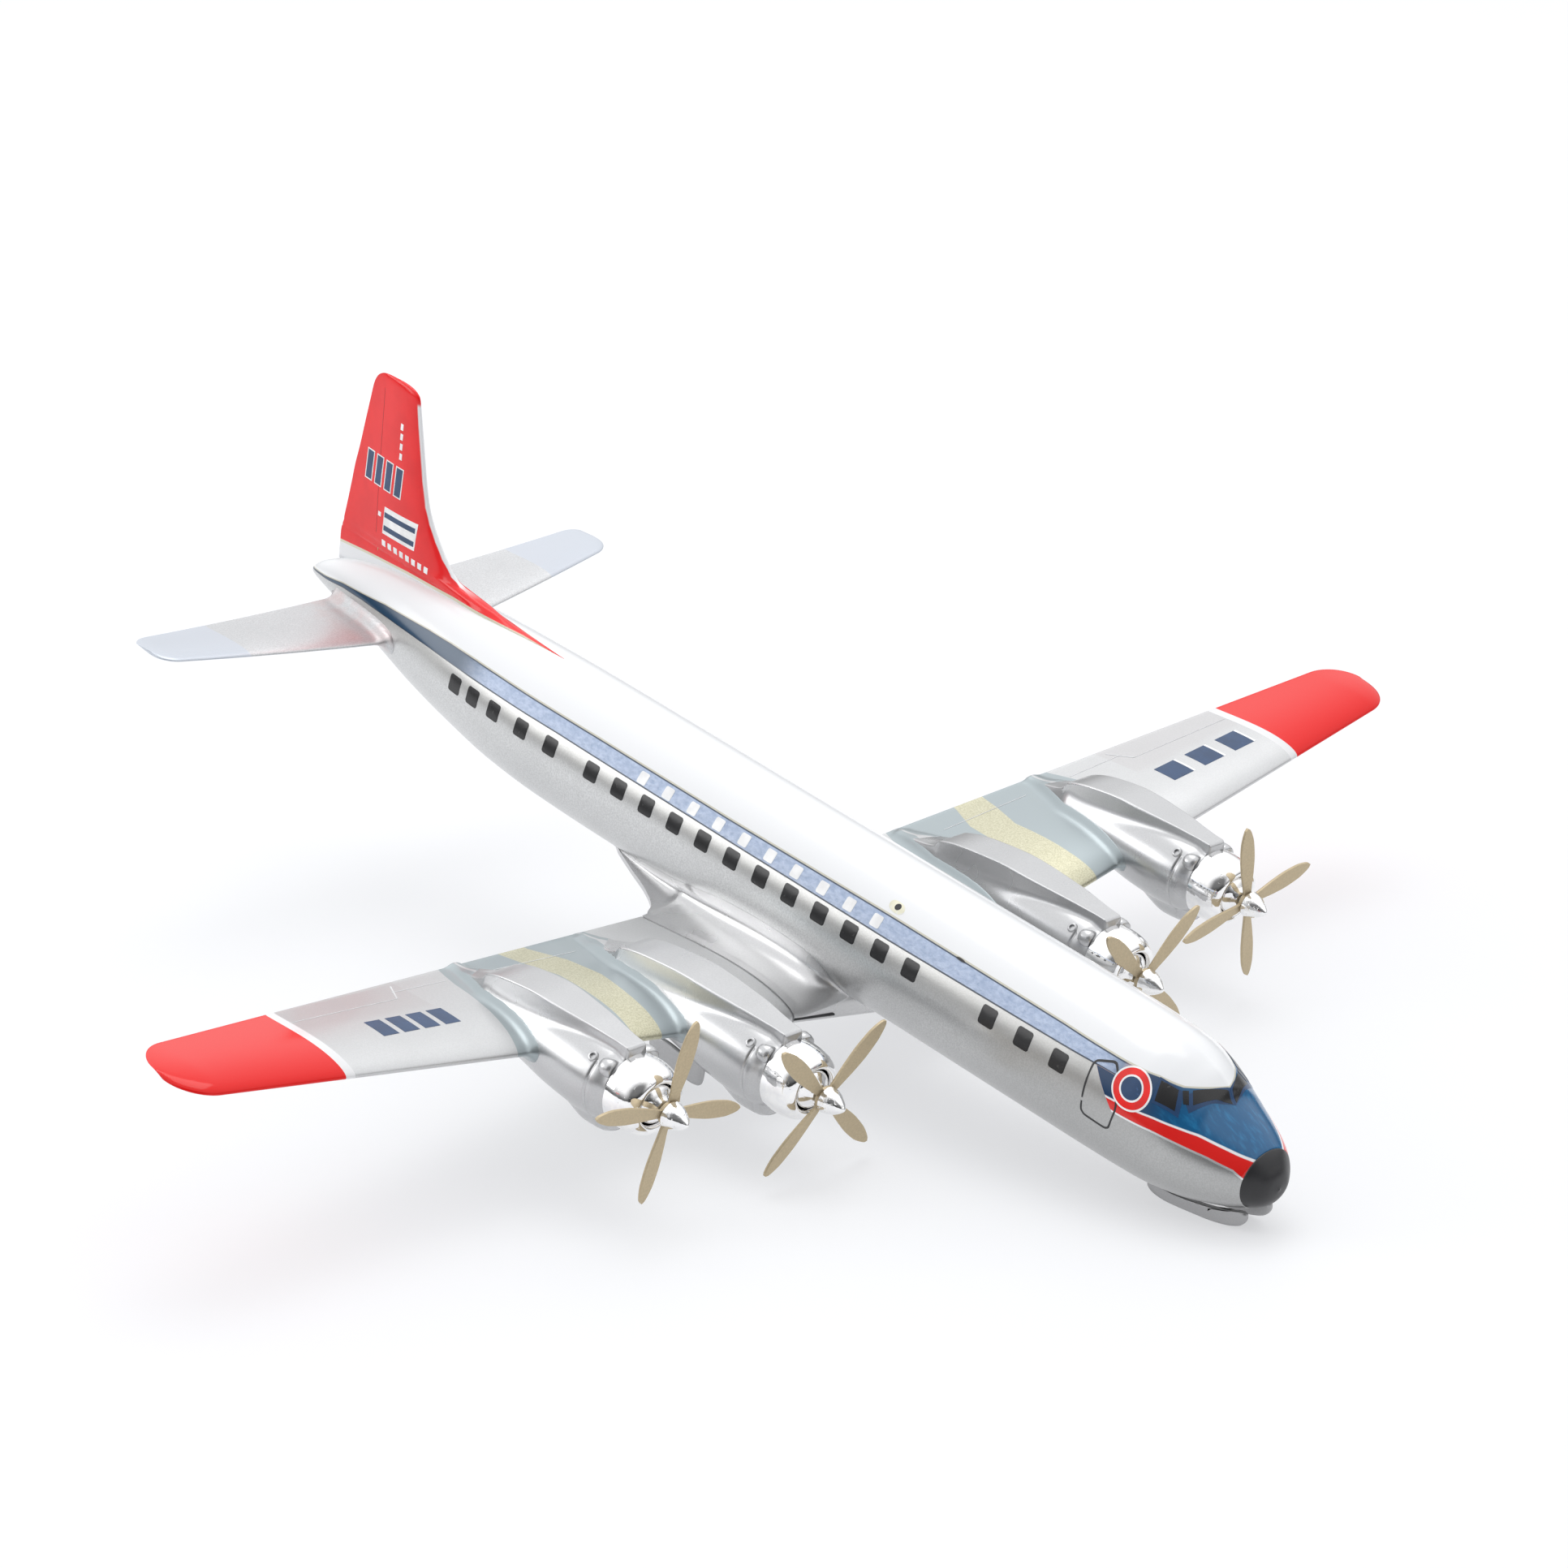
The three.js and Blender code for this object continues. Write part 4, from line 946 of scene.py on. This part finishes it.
def tail_at(x):
    """Tailplane leading edge, trailing edge and height at span x."""
    out = x - TAIL_ROOT_X
    past = max(0.0, (x - TAIL_ROUNDING_X) / (TAIL_TIP_X - TAIL_ROUNDING_X))
    rounding = 1 - math.sqrt(max(0.0, 1 - past**2))
    front = 147.8 + 0.186 * out + 1.9 * rounding
    rear = 162.7 - 0.0455 * out - 1.5 * rounding
    return front, rear, 0.75 + 0.038 * out + 0.0008 * out**2


def stretches(*spans):
    """Rising levels, evenly spaced inside each (start, end, count)."""
    return np.unique(np.concatenate([np.linspace(*span) for span in spans]))


def blade_rings(levels, place, count=40, edge=0.1):
    """Rings of a streamlined section; place(level, fractions, signed thickness) gives the points."""
    t = cosine_steps(count)
    thick = np.maximum(section(t), edge * np.clip(t / 0.02, 0, 1))
    fractions = np.concatenate([t, t[-1::-1][:-1]])
    signed = np.concatenate([thick, -thick[-1::-1][:-1]])
    return [place(level, fractions, signed) for level in levels]


def fin_point(z, t, s):
    """Fin skin at a height, chord fraction and signed thickness."""
    front, rear, half = np.moveaxis(fin_at(z), -1, 0)
    y = front + (rear - front) * t
    ridge = np.clip((y - SPINE_FRONT) / SPINE_TAPER, 0.08, 1)
    return np.stack([s * half * ridge, y, z + 0 * t], -1)


def make_fin():
    levels = stretches((4.5, 8.2, 5), (8.2, 12, 70), (12, 31, 50), (31, 32.47, 26))
    rings = blade_rings(levels, lambda z, t, s: fin_point(np.full_like(t, z), t, s), 56, 0.06)
    finish_piece(lofted("tail_fin_casting", rings, FIN), "tail_red", "tail_fin")


def on_fin(y, z, side, lift):
    """Points just outside one face of the fin."""
    front, rear, half = np.moveaxis(fin_at(z), -1, 0)
    t = np.clip((y - front) / (rear - front), 0, 1)
    return np.stack([side * (half * section(t) + lift), y, z], -1)


def make_tailplanes():
    levels = np.concatenate([np.linspace(1.2, 9, 40), np.linspace(9.4, 32, 34)[1:],
                             32 + (TAIL_TIP_X - 32) * np.sin(np.linspace(0.05, np.pi / 2, 30))])

    def place(x, t, s):
        front, rear, z = tail_at(x)
        half = 0.05 * (rear - front) + 0.05
        return np.stack([x + 0 * t, front + (rear - front) * t, z + s * half], -1)

    rings = filleted(blade_rings(levels, place, 44), fuselage_distance, TAIL_FILLET)
    for label, side in SIDES:
        surface = lofted(f"tailplane_skin_{label}", rings * (side, 1, 1), TAILPLANE)
        finish_piece(surface, "silver_lacquer", f"tailplane_{label}")


# ---- engines ----
nacelle_at = profile([  # distance aft of the propeller, top, bottom, half width
    [6.2, 4.15, -4.25, 4.2], [8, 4.5, -4.9, 4.75], [11, 4.65, -5.2, 4.9], [16, 4.4, -5.0, 4.65],
    [21, 3.9, -4.35, 4.15], [26, 3.3, -3.7, 3.6], [36, 2.4, -3.0, 2.7],
])
chin_at = profile([  # distance aft, bottom, half width of the chin
    [6.6, -5.7, 2.3], [8.5, -6.45, 2.6], [11, -6.65, 2.6], [13.5, -6.1, 2.3], [16, -4.7, 1.6],
])
scoop_at = profile([  # distance aft, top, half width of the intake ridge
    [5.9, 5.3, 1.3], [7.2, 5.34, 1.32], [9, 5.42, 1.5], [13, 5.6, 2.0], [19, 5.62, 2.45],
    [24.5, 4.95, 2.4], [28.9, 3.6, 2.15], [29.7, 2.55, 2.0], [33, 1.2, 1.3], [36.8, 0.1, 0.4],
])
NACELLE_FRONT = 5.9
CHIN_TOP, CHIN_FRONT, CHIN_REAR = -2.0, 6.2, 17.0
GROOVE_AT, GROOVE_WIDTH, GROOVE_DEPTH = 8.5, 0.16, 0.14  # joint behind the cowling ring


def ellipse_reach(sine, cosine, half, middle, height):
    """Far distance from the origin to an ellipse centred at (0, middle), 0 where a ray misses."""
    a = (sine / half) ** 2 + (cosine / height) ** 2
    b = -2 * cosine * middle / height**2
    c = (middle / height) ** 2 - 1
    root = b**2 - 4 * a * c
    return np.where(root > 0, (-b + np.sqrt(np.maximum(root, 0))) / (2 * a), 0)


NACELLE_AXIS = -0.2  # height of the line that the nacelle's radii are measured from
RIDGE_STRETCH = {"outer": 1.0, "inner": 1.25}  # the inner engines' top ridges run further aft
RIDGE_KNEE = 13.0  # distance aft of the propeller where that stretching starts


def ridge_size(s, kind):
    """Top height and half width of the intake ridge."""
    squeezed = np.minimum(s, RIDGE_KNEE) + np.maximum(s - RIDGE_KNEE, 0) / RIDGE_STRETCH[kind]
    return np.moveaxis(scoop_at(squeezed), -1, 0)


def nacelle_reach(angle, s, kind):
    """Nacelle radius at an angle from the top and a distance aft of the propeller."""
    sine, cosine = np.abs(np.sin(angle)), np.cos(angle)
    top, bottom, half = np.moveaxis(nacelle_at(s), -1, 0)
    barrel = ellipse_reach(sine, cosine, half, (top + bottom) / 2 - NACELLE_AXIS, (top - bottom) / 2)
    barrel = barrel * np.sqrt(np.clip((NACELLE_REAR[kind] + 2.5 - s) / 5, 0.01, 1))
    low, chin_half = np.moveaxis(chin_at(s), -1, 0)
    middle, height = (low + CHIN_TOP) / 2 - NACELLE_AXIS, (CHIN_TOP - low) / 2
    fade = np.clip((s - CHIN_FRONT) / 1.2, 0, 1) * np.clip((CHIN_REAR - s) / 2, 0, 1)
    chin = ellipse_reach(sine, cosine, chin_half, middle, height) * fade
    ridge_top, ridge_half = ridge_size(s, kind)
    height = ridge_top - NACELLE_AXIS
    slope = 0.32 * ridge_half / np.maximum(ridge_top + 1.0, 0.5)
    over = height / np.maximum(cosine, 0.02)
    flank = (ridge_half + slope * height) / np.maximum(sine + slope * cosine, 0.05)
    ridge = smooth_min(np.minimum(over, 20), np.minimum(flank, 20), 0.3)
    ridge = np.where(cosine > -0.2, ridge, np.minimum(ridge, 0.8 / np.maximum(-cosine, 0.04)))
    groove = GROOVE_DEPTH * np.exp(-((s - GROOVE_AT) / GROOVE_WIDTH) ** 2) * (cosine < 0.72)
    return smooth_max(smooth_max(barrel, chin, 0.7) - groove, np.minimum(ridge, 8), 0.8)


def nacelle_distance(points, engine):
    """Distance of points from one nacelle's skin, negative inside."""
    x, y, z, _ = ENGINES[engine]
    kind = engine.split("_")[0]
    end = NACELLE_END[kind]
    s = points[..., 1] - y
    across, up = points[..., 0] - x, points[..., 2] - z - NACELLE_AXIS
    reach = nacelle_reach(np.arctan2(across, up), np.clip(s, NACELLE_FRONT, end), kind)
    past = np.maximum(np.maximum(s - end, NACELLE_FRONT - s), 0)
    return np.hypot(across, up) - reach + past


def ring_angles(s, kind):
    """Angles from the top round one nacelle ring, closest together at the ridge's corners."""
    ridge_top, ridge_half = ridge_size(s, kind)
    corner = math.atan2(ridge_half, ridge_top - NACELLE_AXIS)
    above = corner * (1 - (1 - np.linspace(0, 1, 24)) ** 1.3)
    below = corner + (np.pi - corner) * np.linspace(0, 1, 84)[1:] ** 1.3
    half = np.concatenate([above, below])
    return np.concatenate([half, 2 * np.pi - half[-2:0:-1]])


def nacelle_rings(engine):
    x, y, z, _ = ENGINES[engine]
    kind = engine.split("_")[0]
    stations = stretches((NACELLE_FRONT, 9.5, 44), (9.5, 28.6, 60), (28.6, NACELLE_END[kind], 70))
    rings = []
    for s in stations:
        angle = ring_angles(s, kind)
        reach = nacelle_reach(angle, np.full_like(angle, s), kind)
        reach = reach * (1 - 0.06 * np.clip((6.3 - s) / 0.4, 0, 1) ** 2)
        rings.append(np.stack([x + reach * np.sin(angle), y + s + 0 * angle,
                               z + NACELLE_AXIS + reach * np.cos(angle)], -1))
    return rings


LOBE = [(0, 0.9), (0.06, 1.08), (0.3, 1.15), (0.6, 1.1), (0.85, 0.85), (0.97, 0.4), (1, 0.1)]
STUB = [(0, 1.0), (0.55, 0.85), (0.8, 0.66), (0.97, 0.58), (1, 0.52), (1, 0.36), (0.8, 0.34), (0.8, 0.01)]


def exhaust_lobes(x, y, z):
    """Cowl-gill bumps and the pipe stubs on both shoulders."""
    shapes = []
    for side in (-1, 1):
        front, rear = (x + side * 2.55, y + 6.3, z + 2.75), (x + side * 2.95, y + 8.3, z + 2.8)
        shapes.append([tube_ring(front, rear, radius, t) for t, radius in LOBE])
        root, mouth = (x + side * 2.2, y + 9.4, z + 2.4), (x + side * 3.4, y + 9.2, z + 3.5)
        shapes.append([tube_ring(root, mouth, radius, t) for t, radius in STUB])
    return shapes


def tube_ring(start, end, radius, t, around=24):
    """Circle round the line from start to end, at fraction t of it."""
    start, end = np.array(start, float), np.array(end, float)
    along = (end - start) / np.linalg.norm(end - start)
    u = np.cross(along, (0.1, 0.3, 1.0))
    u /= np.linalg.norm(u)
    v = np.cross(along, u)
    angle = np.linspace(0, 2 * np.pi, around, endpoint=False)[:, None]
    return start + (end - start) * t + radius * (np.cos(angle) * u + np.sin(angle) * v)


def wing_rings(levels, count=48):
    """Left wing sections, upper skin aft and lower skin back."""
    t = cosine_steps(count)
    return [np.vstack([wing_point(x, t, 1), wing_point(x, t[-1::-1][1:-1], -1)]) for x in levels]


def near_left_nacelles(points):
    return np.minimum(nacelle_distance(points, "outer_left"), nacelle_distance(points, "inner_left"))


def make_wings():
    levels = np.concatenate([np.linspace(WING_JOINT_X + 0.15, 56, 190), np.linspace(56.4, 88, 50),
                             88 + (WING_TIP_X - 88) * np.sin(np.linspace(0.08, np.pi / 2, 26))])
    rings = filleted(wing_rings(levels), near_left_nacelles, WING_FILLET)
    for label, side in SIDES:
        wing = lofted(f"wing_skin_{label}", rings * (side, 1, 1), WING)
        finish_piece(wing, "silver_lacquer", f"wing_{label}")


def make_nacelles():
    for engine, (x, y, z, _) in ENGINES.items():
        shapes = [nacelle_rings(engine)] + exhaust_lobes(x, y, z)
        skin_parts = [lofted("part", rings, SILVER) for rings in shapes]
        nacelle = sharpen(joined(f"nacelle_skin_{engine}", skin_parts), 70)
        finish_piece(nacelle, "silver_lacquer", f"nacelle_{engine}")


# Outlines as radius and distance aft of the propeller.
COWL_LIP = [(2.5, 2.6), (2.48, 2.0), (2.72, 1.62), (3.15, 1.6), (3.72, 2.05), (4.1, 2.85), (4.3, 3.95),
            (4.36, 5.0), (4.3, 5.95)]
COWL_THROAT = [(4.3, 5.95), (3.7, 5.9), (3.62, 3.8), (3.1, 3.1), (2.5, 2.6)]
GEAR_CASE = [(SHAFT_BORE, 0.75), (1.05, 0.75), (1.3, 1.2), (1.9, 1.6), (2.28, 1.95), (2.4, 2.4),
             (2.4, 3.4), (3.2, 3.6), (3.2, 5.9), (SHAFT_BORE, 5.9)]
SPINNER_TIP = [(0.0, -3.2), (0.26, -3.1), (0.75, -2.55), (1.16, -1.9), (1.45, -1.2), (1.6, -0.45)]
SPINNER_BACK = [(SHAFT_BORE, -0.45), (SHAFT_BORE, -2.3), (0.0, -2.3)]
HUB = [(SHAFT_BORE, -0.3), (1.3, -0.3), (1.38, -0.2), (1.38, 0.2), (1.3, 0.3), (SHAFT_BORE, 0.3),
       (SHAFT_BORE, -0.3)]
blade_chord = profile([  # radius, half chord
    [0.9, 0.5], [2.2, 0.62], [4.4, 0.92], [6.6, 1.08], [8.6, 0.98], [9.8, 0.7], [10.5, 0.42],
    [10.82, 0.2], [PROP_RADIUS, 0.04],
])
BLADE_HALF_SHEET = 0.17
BLADE_OUTLINE = [(-1, 0), (-0.93, 1), (0.93, 1), (1, 0), (0.93, -1), (-0.93, -1)]


def turned(name, outline, engine, material, around=96):
    """Outline turned round an engine's shaft."""
    x, y, z, _ = ENGINES[engine]
    return lathe(name, np.array(outline) + (0, y), x, z, material, around)


def make_engine_fronts():
    lip = smooth_line(COWL_LIP)
    throat = smooth_line(COWL_THROAT)
    case = smooth_line(GEAR_CASE)
    tip = smooth_line(SPINNER_TIP)
    for engine in ENGINES:
        cowl = turned(f"cowling_ring_{engine}", np.vstack([lip, throat[1:]]), engine, CHROME)
        finish_piece(sharpen(cowl, 50), "polished_cowling", f"cowling_{engine}")
        housing = turned(f"gear_case_{engine}", np.vstack([case, case[:1]]), engine, CHROME, 72)
        finish_piece(sharpen(housing, 50), "polished_cowling", f"gear_housing_{engine}")
        group = f"propeller_group_{engine}"
        cone = turned(f"spinner_cone_{engine}", np.vstack([tip, SPINNER_BACK]), engine, PLATED, 72)
        finish_piece(sharpen(cone, 50), "polished_cowling", f"spinner_{engine}", body=group)
        make_propeller(engine, group)


def blade_rings_out(centre, angle):
    """Rings of one lightly twisted paddle that points out at an angle from its hub."""
    out = np.array([math.cos(angle), 0, math.sin(angle)])
    side = np.array([-math.sin(angle), 0, math.cos(angle)])
    aft = np.array([0, 1, 0])
    rings = []
    for reach in np.linspace(0.9, PROP_RADIUS, 40):
        chord = blade_chord(reach)[0]
        twist = math.radians(9 - 6 * reach / PROP_RADIUS)
        wide = (side * math.cos(twist) + aft * math.sin(twist)) * chord
        thin = (aft * math.cos(twist) - side * math.sin(twist)) * BLADE_HALF_SHEET
        rings.append([centre + out * reach + wide * u + thin * v for u, v in BLADE_OUTLINE])
    return rings


def make_propeller(engine, group):
    """Four etched paddles and a hub disc, all cut from one sheet."""
    *centre, phase = ENGINES[engine]
    angles = [math.pi / 2 * k + math.radians(phase) for k in range(4)]
    parts = [lofted("blade", blade_rings_out(np.array(centre), angle), BRASS) for angle in angles]
    parts.append(turned("hub", HUB, engine, BRASS, 48))
    made = joined(f"propeller_blades_{engine}", parts)
    made.data.polygons.foreach_set("use_smooth", [False] * len(made.data.polygons))
    finish_piece(made, "etched_brass", f"propeller_{engine}", body=group)


# ---- wing centre section ----
fairing_at = profile([  # distance aft, half span, height where the fillet meets the fuselage side
    [60.3, 13.9, -7.6], [61.5, 13.9, -5.6], [64, 13.9, -3.1], [67, 13.9, -2.4], [72, 13.9, -2.2],
    [79, 13.9, -2.6], [88.2, 13.0, -4.3], [90, 10.9, -4.7], [93.5, 8.9, -5.2], [98, 7.2, -5.9],
    [102, 5.6, -6.7], [106, 3.8, -7.7],
])
ROOT_FRONT, ROOT_REAR, FAIRING_REAR = 60.9, 88.2, 105.9
ROOT_GAP_START, ROOT_GAP_RADIUS = 8.0, 0.15
FILLET_START = 12.6  # span where the root's upper skin starts to climb
ROOT_OVERLAP = 0.1  # how far the casting's skins stand off the wing's own surface
ROOT_STEPS = 34


def root_skins(rim, t, y):
    """Lower skin out to the rim and upper skin back in to where the fillet starts."""
    drop = 0.08 * max(y - ROOT_REAR, 0)
    out = rim * np.linspace(0, 1, ROOT_STEPS)
    lower, upper = (wing_point(out, np.full_like(out, t), face) for face in (-1, 1))
    lower[:, 2] += drop - ROOT_OVERLAP
    upper[:, 2] += drop + ROOT_OVERLAP
    flat = np.linspace(rim, min(FILLET_START, rim - 0.15), 10)
    top_skin = np.stack([np.interp(flat, out, upper[:, k]) for k in range(3)], -1)
    return lower, top_skin


def root_fillet(base, side, y):
    """Curve from the upper skin's end up to height side on the fuselage, and its way back inside."""
    top, bottom, width = fuselage_at(y)
    middle, half = (top + bottom) / 2, (top - bottom) / 2
    sine = np.clip((side - middle) / half, -0.999, 0.999)
    touch = width * math.sqrt(1 - sine**2)
    slope = -width * sine / (half * math.sqrt(1 - sine**2))
    corner_x = min(touch - slope * (side - base[2]), base[0] - 0.02)
    bend = np.array([[base[0], base[2]], [corner_x, base[2]], [touch + 0.02, side]])
    u = np.linspace(0, 1, ROOT_STEPS)[:, None]
    arc = (1 - u) ** 2 * bend[0] + 2 * u * (1 - u) * bend[1] + u**2 * bend[2]
    curve = np.vstack([arc[1:], (touch - 1.5, side - 0.3), (0.0, side - 1.0)])
    return np.stack([curve[:, 0], np.full(len(curve), base[1]), curve[:, 1]], -1)


def root_half_ring(p):
    """Left-hand half of one cross ring; p runs to 1 along the root and on to 2 along its tail."""
    if p <= 1:
        y = ROOT_FRONT + (ROOT_REAR - ROOT_FRONT) * p
    else:
        y = ROOT_REAR + (p - 1) * (FAIRING_REAR - ROOT_REAR)
    rim, side = fairing_at(y)[:2]
    rim = WING_JOINT_X if p <= 1 else rim
    lower, top_skin = root_skins(rim, min(p, 1.0), y)
    half_ring = np.vstack([lower, top_skin, root_fillet(top_skin[-1], side, y)])
    if p > 1:
        half_ring[:, 1] = y
    return half_ring


def make_centre_section():
    """Belly pan and wing roots; their upper skin runs into the fuselage side in wide fillets."""
    rings = []
    for p in np.concatenate([cosine_steps(80), 1 + np.linspace(0.012, 1, 50)]):
        half = root_half_ring(p)
        mirror = half[-2:0:-1] * (-1, 1, 1)
        rings.append(np.vstack([half, mirror]))
    casting = lofted("wing_centre_casting", rings, FAIRING)
    finish_piece(sharpen(casting, 55), "silver_lacquer", "wing_centre_section")


def make_root_gaps():
    """Dark gap along the leading edge of each wing root, from the joint to the fuselage side."""
    start, end = (wing_point(np.array([x]), np.zeros(1), 1)[0] for x in (ROOT_GAP_START, WING_JOINT_X))
    for label, side in SIDES:
        mirrored = start * (side, 1, 1), end * (side, 1, 1)
        rings = [tube_ring(*mirrored, ROOT_GAP_RADIUS, t) for t in (0.0, 1.0)]
        finish_piece(lofted(f"root_gap_{label}", rings, INK), "radome_black")


# ---- undercarriage ----
def table_height(y):
    """Height of the table under a point of the pitched aircraft."""
    return (-ORIGIN_HEIGHT - y * math.sin(PITCH)) / math.cos(PITCH)


PLATE_LAYERS = [(0.4, 1.0), (0.8, 1.0), (0.95, 0.95), (1.0, 0.4), (1.0, -0.4), (0.95, -0.95), (0.8, -1.0),
                (0.4, -1.0)]  # size and depth
NOSE_DOOR = [
    (2.2, -5.3), (2.0, -6.5), (3.0, -7.75), *((y, table_height(y) + 0.03) for y in (6.4, 9, 11.4)),
    (14, -10.0), (16.1, -9.75), (16.4, -9.0), (15.4, -8.75), (12, -8.5), (8, -7.6), (4, -6.4),
]
MAIN_DOOR = [
    (60.6, -8.6), (60.7, -11.3), (61.4, -12.0), (63.4, -12.0), (66, -12.2), (68.8, -11.9), (70.1, -10.6),
    (69.4, -9.3), (67.2, -8.9), (64, -9.3),
]
TREAD = [
    (1.35, -0.45), (1.55, -0.72), (2.3, -0.74), (2.75, -0.5), (2.88, 0), (2.75, 0.5), (2.3, 0.74),
    (1.55, 0.72), (1.35, 0.45),
]
RIM = [(0.48, -0.5), (1.35, -0.42), (1.35, 0.42), (0.48, 0.5), (0.48, -0.5)]


def plate(name, outline, x, half, material):
    """Door plate with rounded edges: a (y, z) outline at span x, with half its thickness each way."""
    centre = outline.mean(0)
    layers = []
    for size, depth in PLATE_LAYERS:
        ring = centre + (outline - centre) * size
        layers.append(np.insert(ring, 0, x + half * depth, 1))
    return lofted(name, layers, material)


def make_nose_doors():
    outline = soften(NOSE_DOOR, 3)
    for label, side in SIDES:
        door = plate(f"nose_door_{label}", outline, side * NOSE_DOOR_X, NOSE_DOOR_HALF, SHADED_DOOR_SILVER)
        finish_piece(door, "silver_lacquer", f"nose_gear_door_{label}")


def make_main_doors():
    outline = soften(MAIN_DOOR, 3)
    for label, side in SIDES:
        for place, out in (("outboard", 1), ("inboard", -1)):
            x = side * (MAIN_GEAR_X + out * MAIN_DOOR_OFFSET)
            door = plate(f"main_door_{label}_{place}", outline, x, MAIN_DOOR_HALF, SHADED_DOOR_SILVER)
            finish_piece(door, "silver_lacquer", f"main_gear_door_{label}_{place}")


def make_wheels():
    """Tyre and hub of each wheel in the two main pairs."""
    tread = smooth_line(TREAD, 3)
    for label, side in SIDES:
        group = f"wheel_pair_{label}"
        for place, out in (("outer", 1), ("inner", -1)):
            x = side * (MAIN_GEAR_X + out * WHEEL_OFFSET)
            tyre = wheel_ring(np.vstack([tread, tread[:1]]), x, TYRE)
            hub = wheel_ring(RIM, x, SILVER)
            finish_piece(hub, "gear_metal", body=group).name = f"wheel_hub_{place}_{label}"
            tyre.name = f"wheel_tyre_{place}_{label}"
            finish_piece(tyre, "tyre", f"main_wheel_{place}_{label}", body=group)


def wheel_ring(outline, x, material, around=72):
    """Outline of (radius, sideways) points turned round the wheel axle."""
    z = table_height(AXLE_Y) + WHEEL_RADIUS / math.cos(PITCH)
    angle = np.linspace(0, 2 * np.pi, around, endpoint=False)
    rings = [[(x + u, AXLE_Y + r * math.sin(a), z + r * math.cos(a)) for a in angle] for r, u in outline]
    return piece("wheel", rings, loft_faces(len(rings), around), material)


def dress_cad_nodes():
    """Nodes whose CAD shape already serves keep it and get their finish."""
    for name, node in frame["nodes"].items():
        finish = None
        if "dowel" in name or "joining_pin" in name or "shaft" in name or "axle" in name:
            finish = STEEL
        elif "pin" in name.split("_"):
            finish = PIN
        elif "leg" in name or "brace" in name:
            finish = LEG
        if finish:
            node.data.materials.clear()
            node.data.materials.append(finish)


# ---- stage ----
TABLE_GLOW = 0.54  # light box under the white sweep, so that shadows stay faint
TABLE_REACH = 4.0
DARK_SIDE = (-0.72, -0.62, 0.30)  # the sky is darkest this way
FIELD_OF_VIEW = 18.78


def make_stage():
    paint = Paint("table_white", Roughness=0.55)
    cloud = paint.noise(0.02, 3.0)
    paint.shader.inputs["Specular IOR Level"].default_value = 0.2
    paint.shader.inputs["Emission Color"].default_value = (0.975, 0.98, 1.0, 1)
    paint.shader.inputs["Emission Strength"].default_value = TABLE_GLOW
    table_paint = paint.done(paint.mix(cloud, (0.36, 0.365, 0.375), (0.38, 0.385, 0.39)))
    mesh = bpy.data.meshes.new("table")
    corners = [(-1, -1, 0), (1, -1, 0), (1, 1, 0), (-1, 1, 0)]
    mesh.from_pydata((np.array(corners) * TABLE_REACH).tolist(), [], [(0, 1, 2, 3)])
    mesh.materials.append(table_paint)
    placed("table", mesh)


def area_light(name, place, target, size, power, tint=(1, 1, 1)):
    """Rectangular lamp at a place, in metres, that faces a target."""
    data = bpy.data.lights.new(name, "AREA")
    data.shape = "RECTANGLE"
    data.size, data.size_y = size
    data.energy = power
    data.color = tint
    lamp = placed(name, data)
    lamp.location = place
    lamp.rotation_euler = (Vector(target) - Vector(place)).to_track_quat("-Z", "Y").to_euler()


def make_lights():
    world = bpy.data.worlds.new("studio")
    world.use_nodes = True
    sky = Nodes(world.node_tree)
    background = sky.tree.nodes["Background"]
    way = sky.add("TexCoord").outputs["Generated"]
    up = sky.split(way)[2]
    facing = sky.add("VectorMath")
    facing.operation = "DOT_PRODUCT"
    sky.put(facing.inputs[0], way)
    facing.inputs[1].default_value = DARK_SIDE
    shade = sky.ramp(facing.outputs["Value"], 0.62, 0.9, 1.0, 0.16)
    height = sky.both(sky.ramp(up, -0.1, 0.7, 0.85, 1.3, "LINEAR"), sky.ramp(up, 0.0, 0.4, 0.14, 1.0))
    sky.put(background.inputs[1], sky.both(height, shade))
    background.inputs[0].default_value = (0.985, 0.99, 1.0, 1)
    bpy.context.scene.world = world
    area_light("key", (0.2, 0.22, 0.95), (0, 0, 0), (0.55, 0.55), 1.9, (1, 0.995, 0.985))
    area_light("aft_fill", (-0.42, 0.42, 0.26), (-0.02, 0.08, 0.03), (0.35, 0.25), 0.75)


def make_camera():
    """Camera where the photo was taken from, placed in the aircraft's frame."""
    eye = Vector((-352.92, -264.52, 258.52))
    right = Vector((0.73525, -0.66816, 0.11388))
    down = Vector((-0.22899, -0.40301, -0.88609))
    data = bpy.data.cameras.new("camera")
    data.sensor_width = 36
    data.lens = data.sensor_width / 2 / math.tan(math.radians(FIELD_OF_VIEW / 2))
    data.clip_start, data.clip_end = 0.01, 20
    camera = placed("camera", data)
    forward = right.cross(down)
    axes = Matrix((right, -down, -forward)).transposed()
    camera.matrix_world = Matrix.Translation(AIR @ eye) @ TURN @ axes.to_4x4()
    bpy.context.scene.camera = camera
    bpy.context.scene.view_settings.view_transform = "Standard"


make_camera()
make_stage()
make_lights()
make_fuselage()
make_radome()
make_windows()
make_cockpit()
make_marks()
make_fin()
make_tailplanes()
make_centre_section()
make_root_gaps()
make_wings()
make_nacelles()
make_engine_fronts()
make_nose_doors()
make_main_doors()
make_wheels()
dress_cad_nodes()
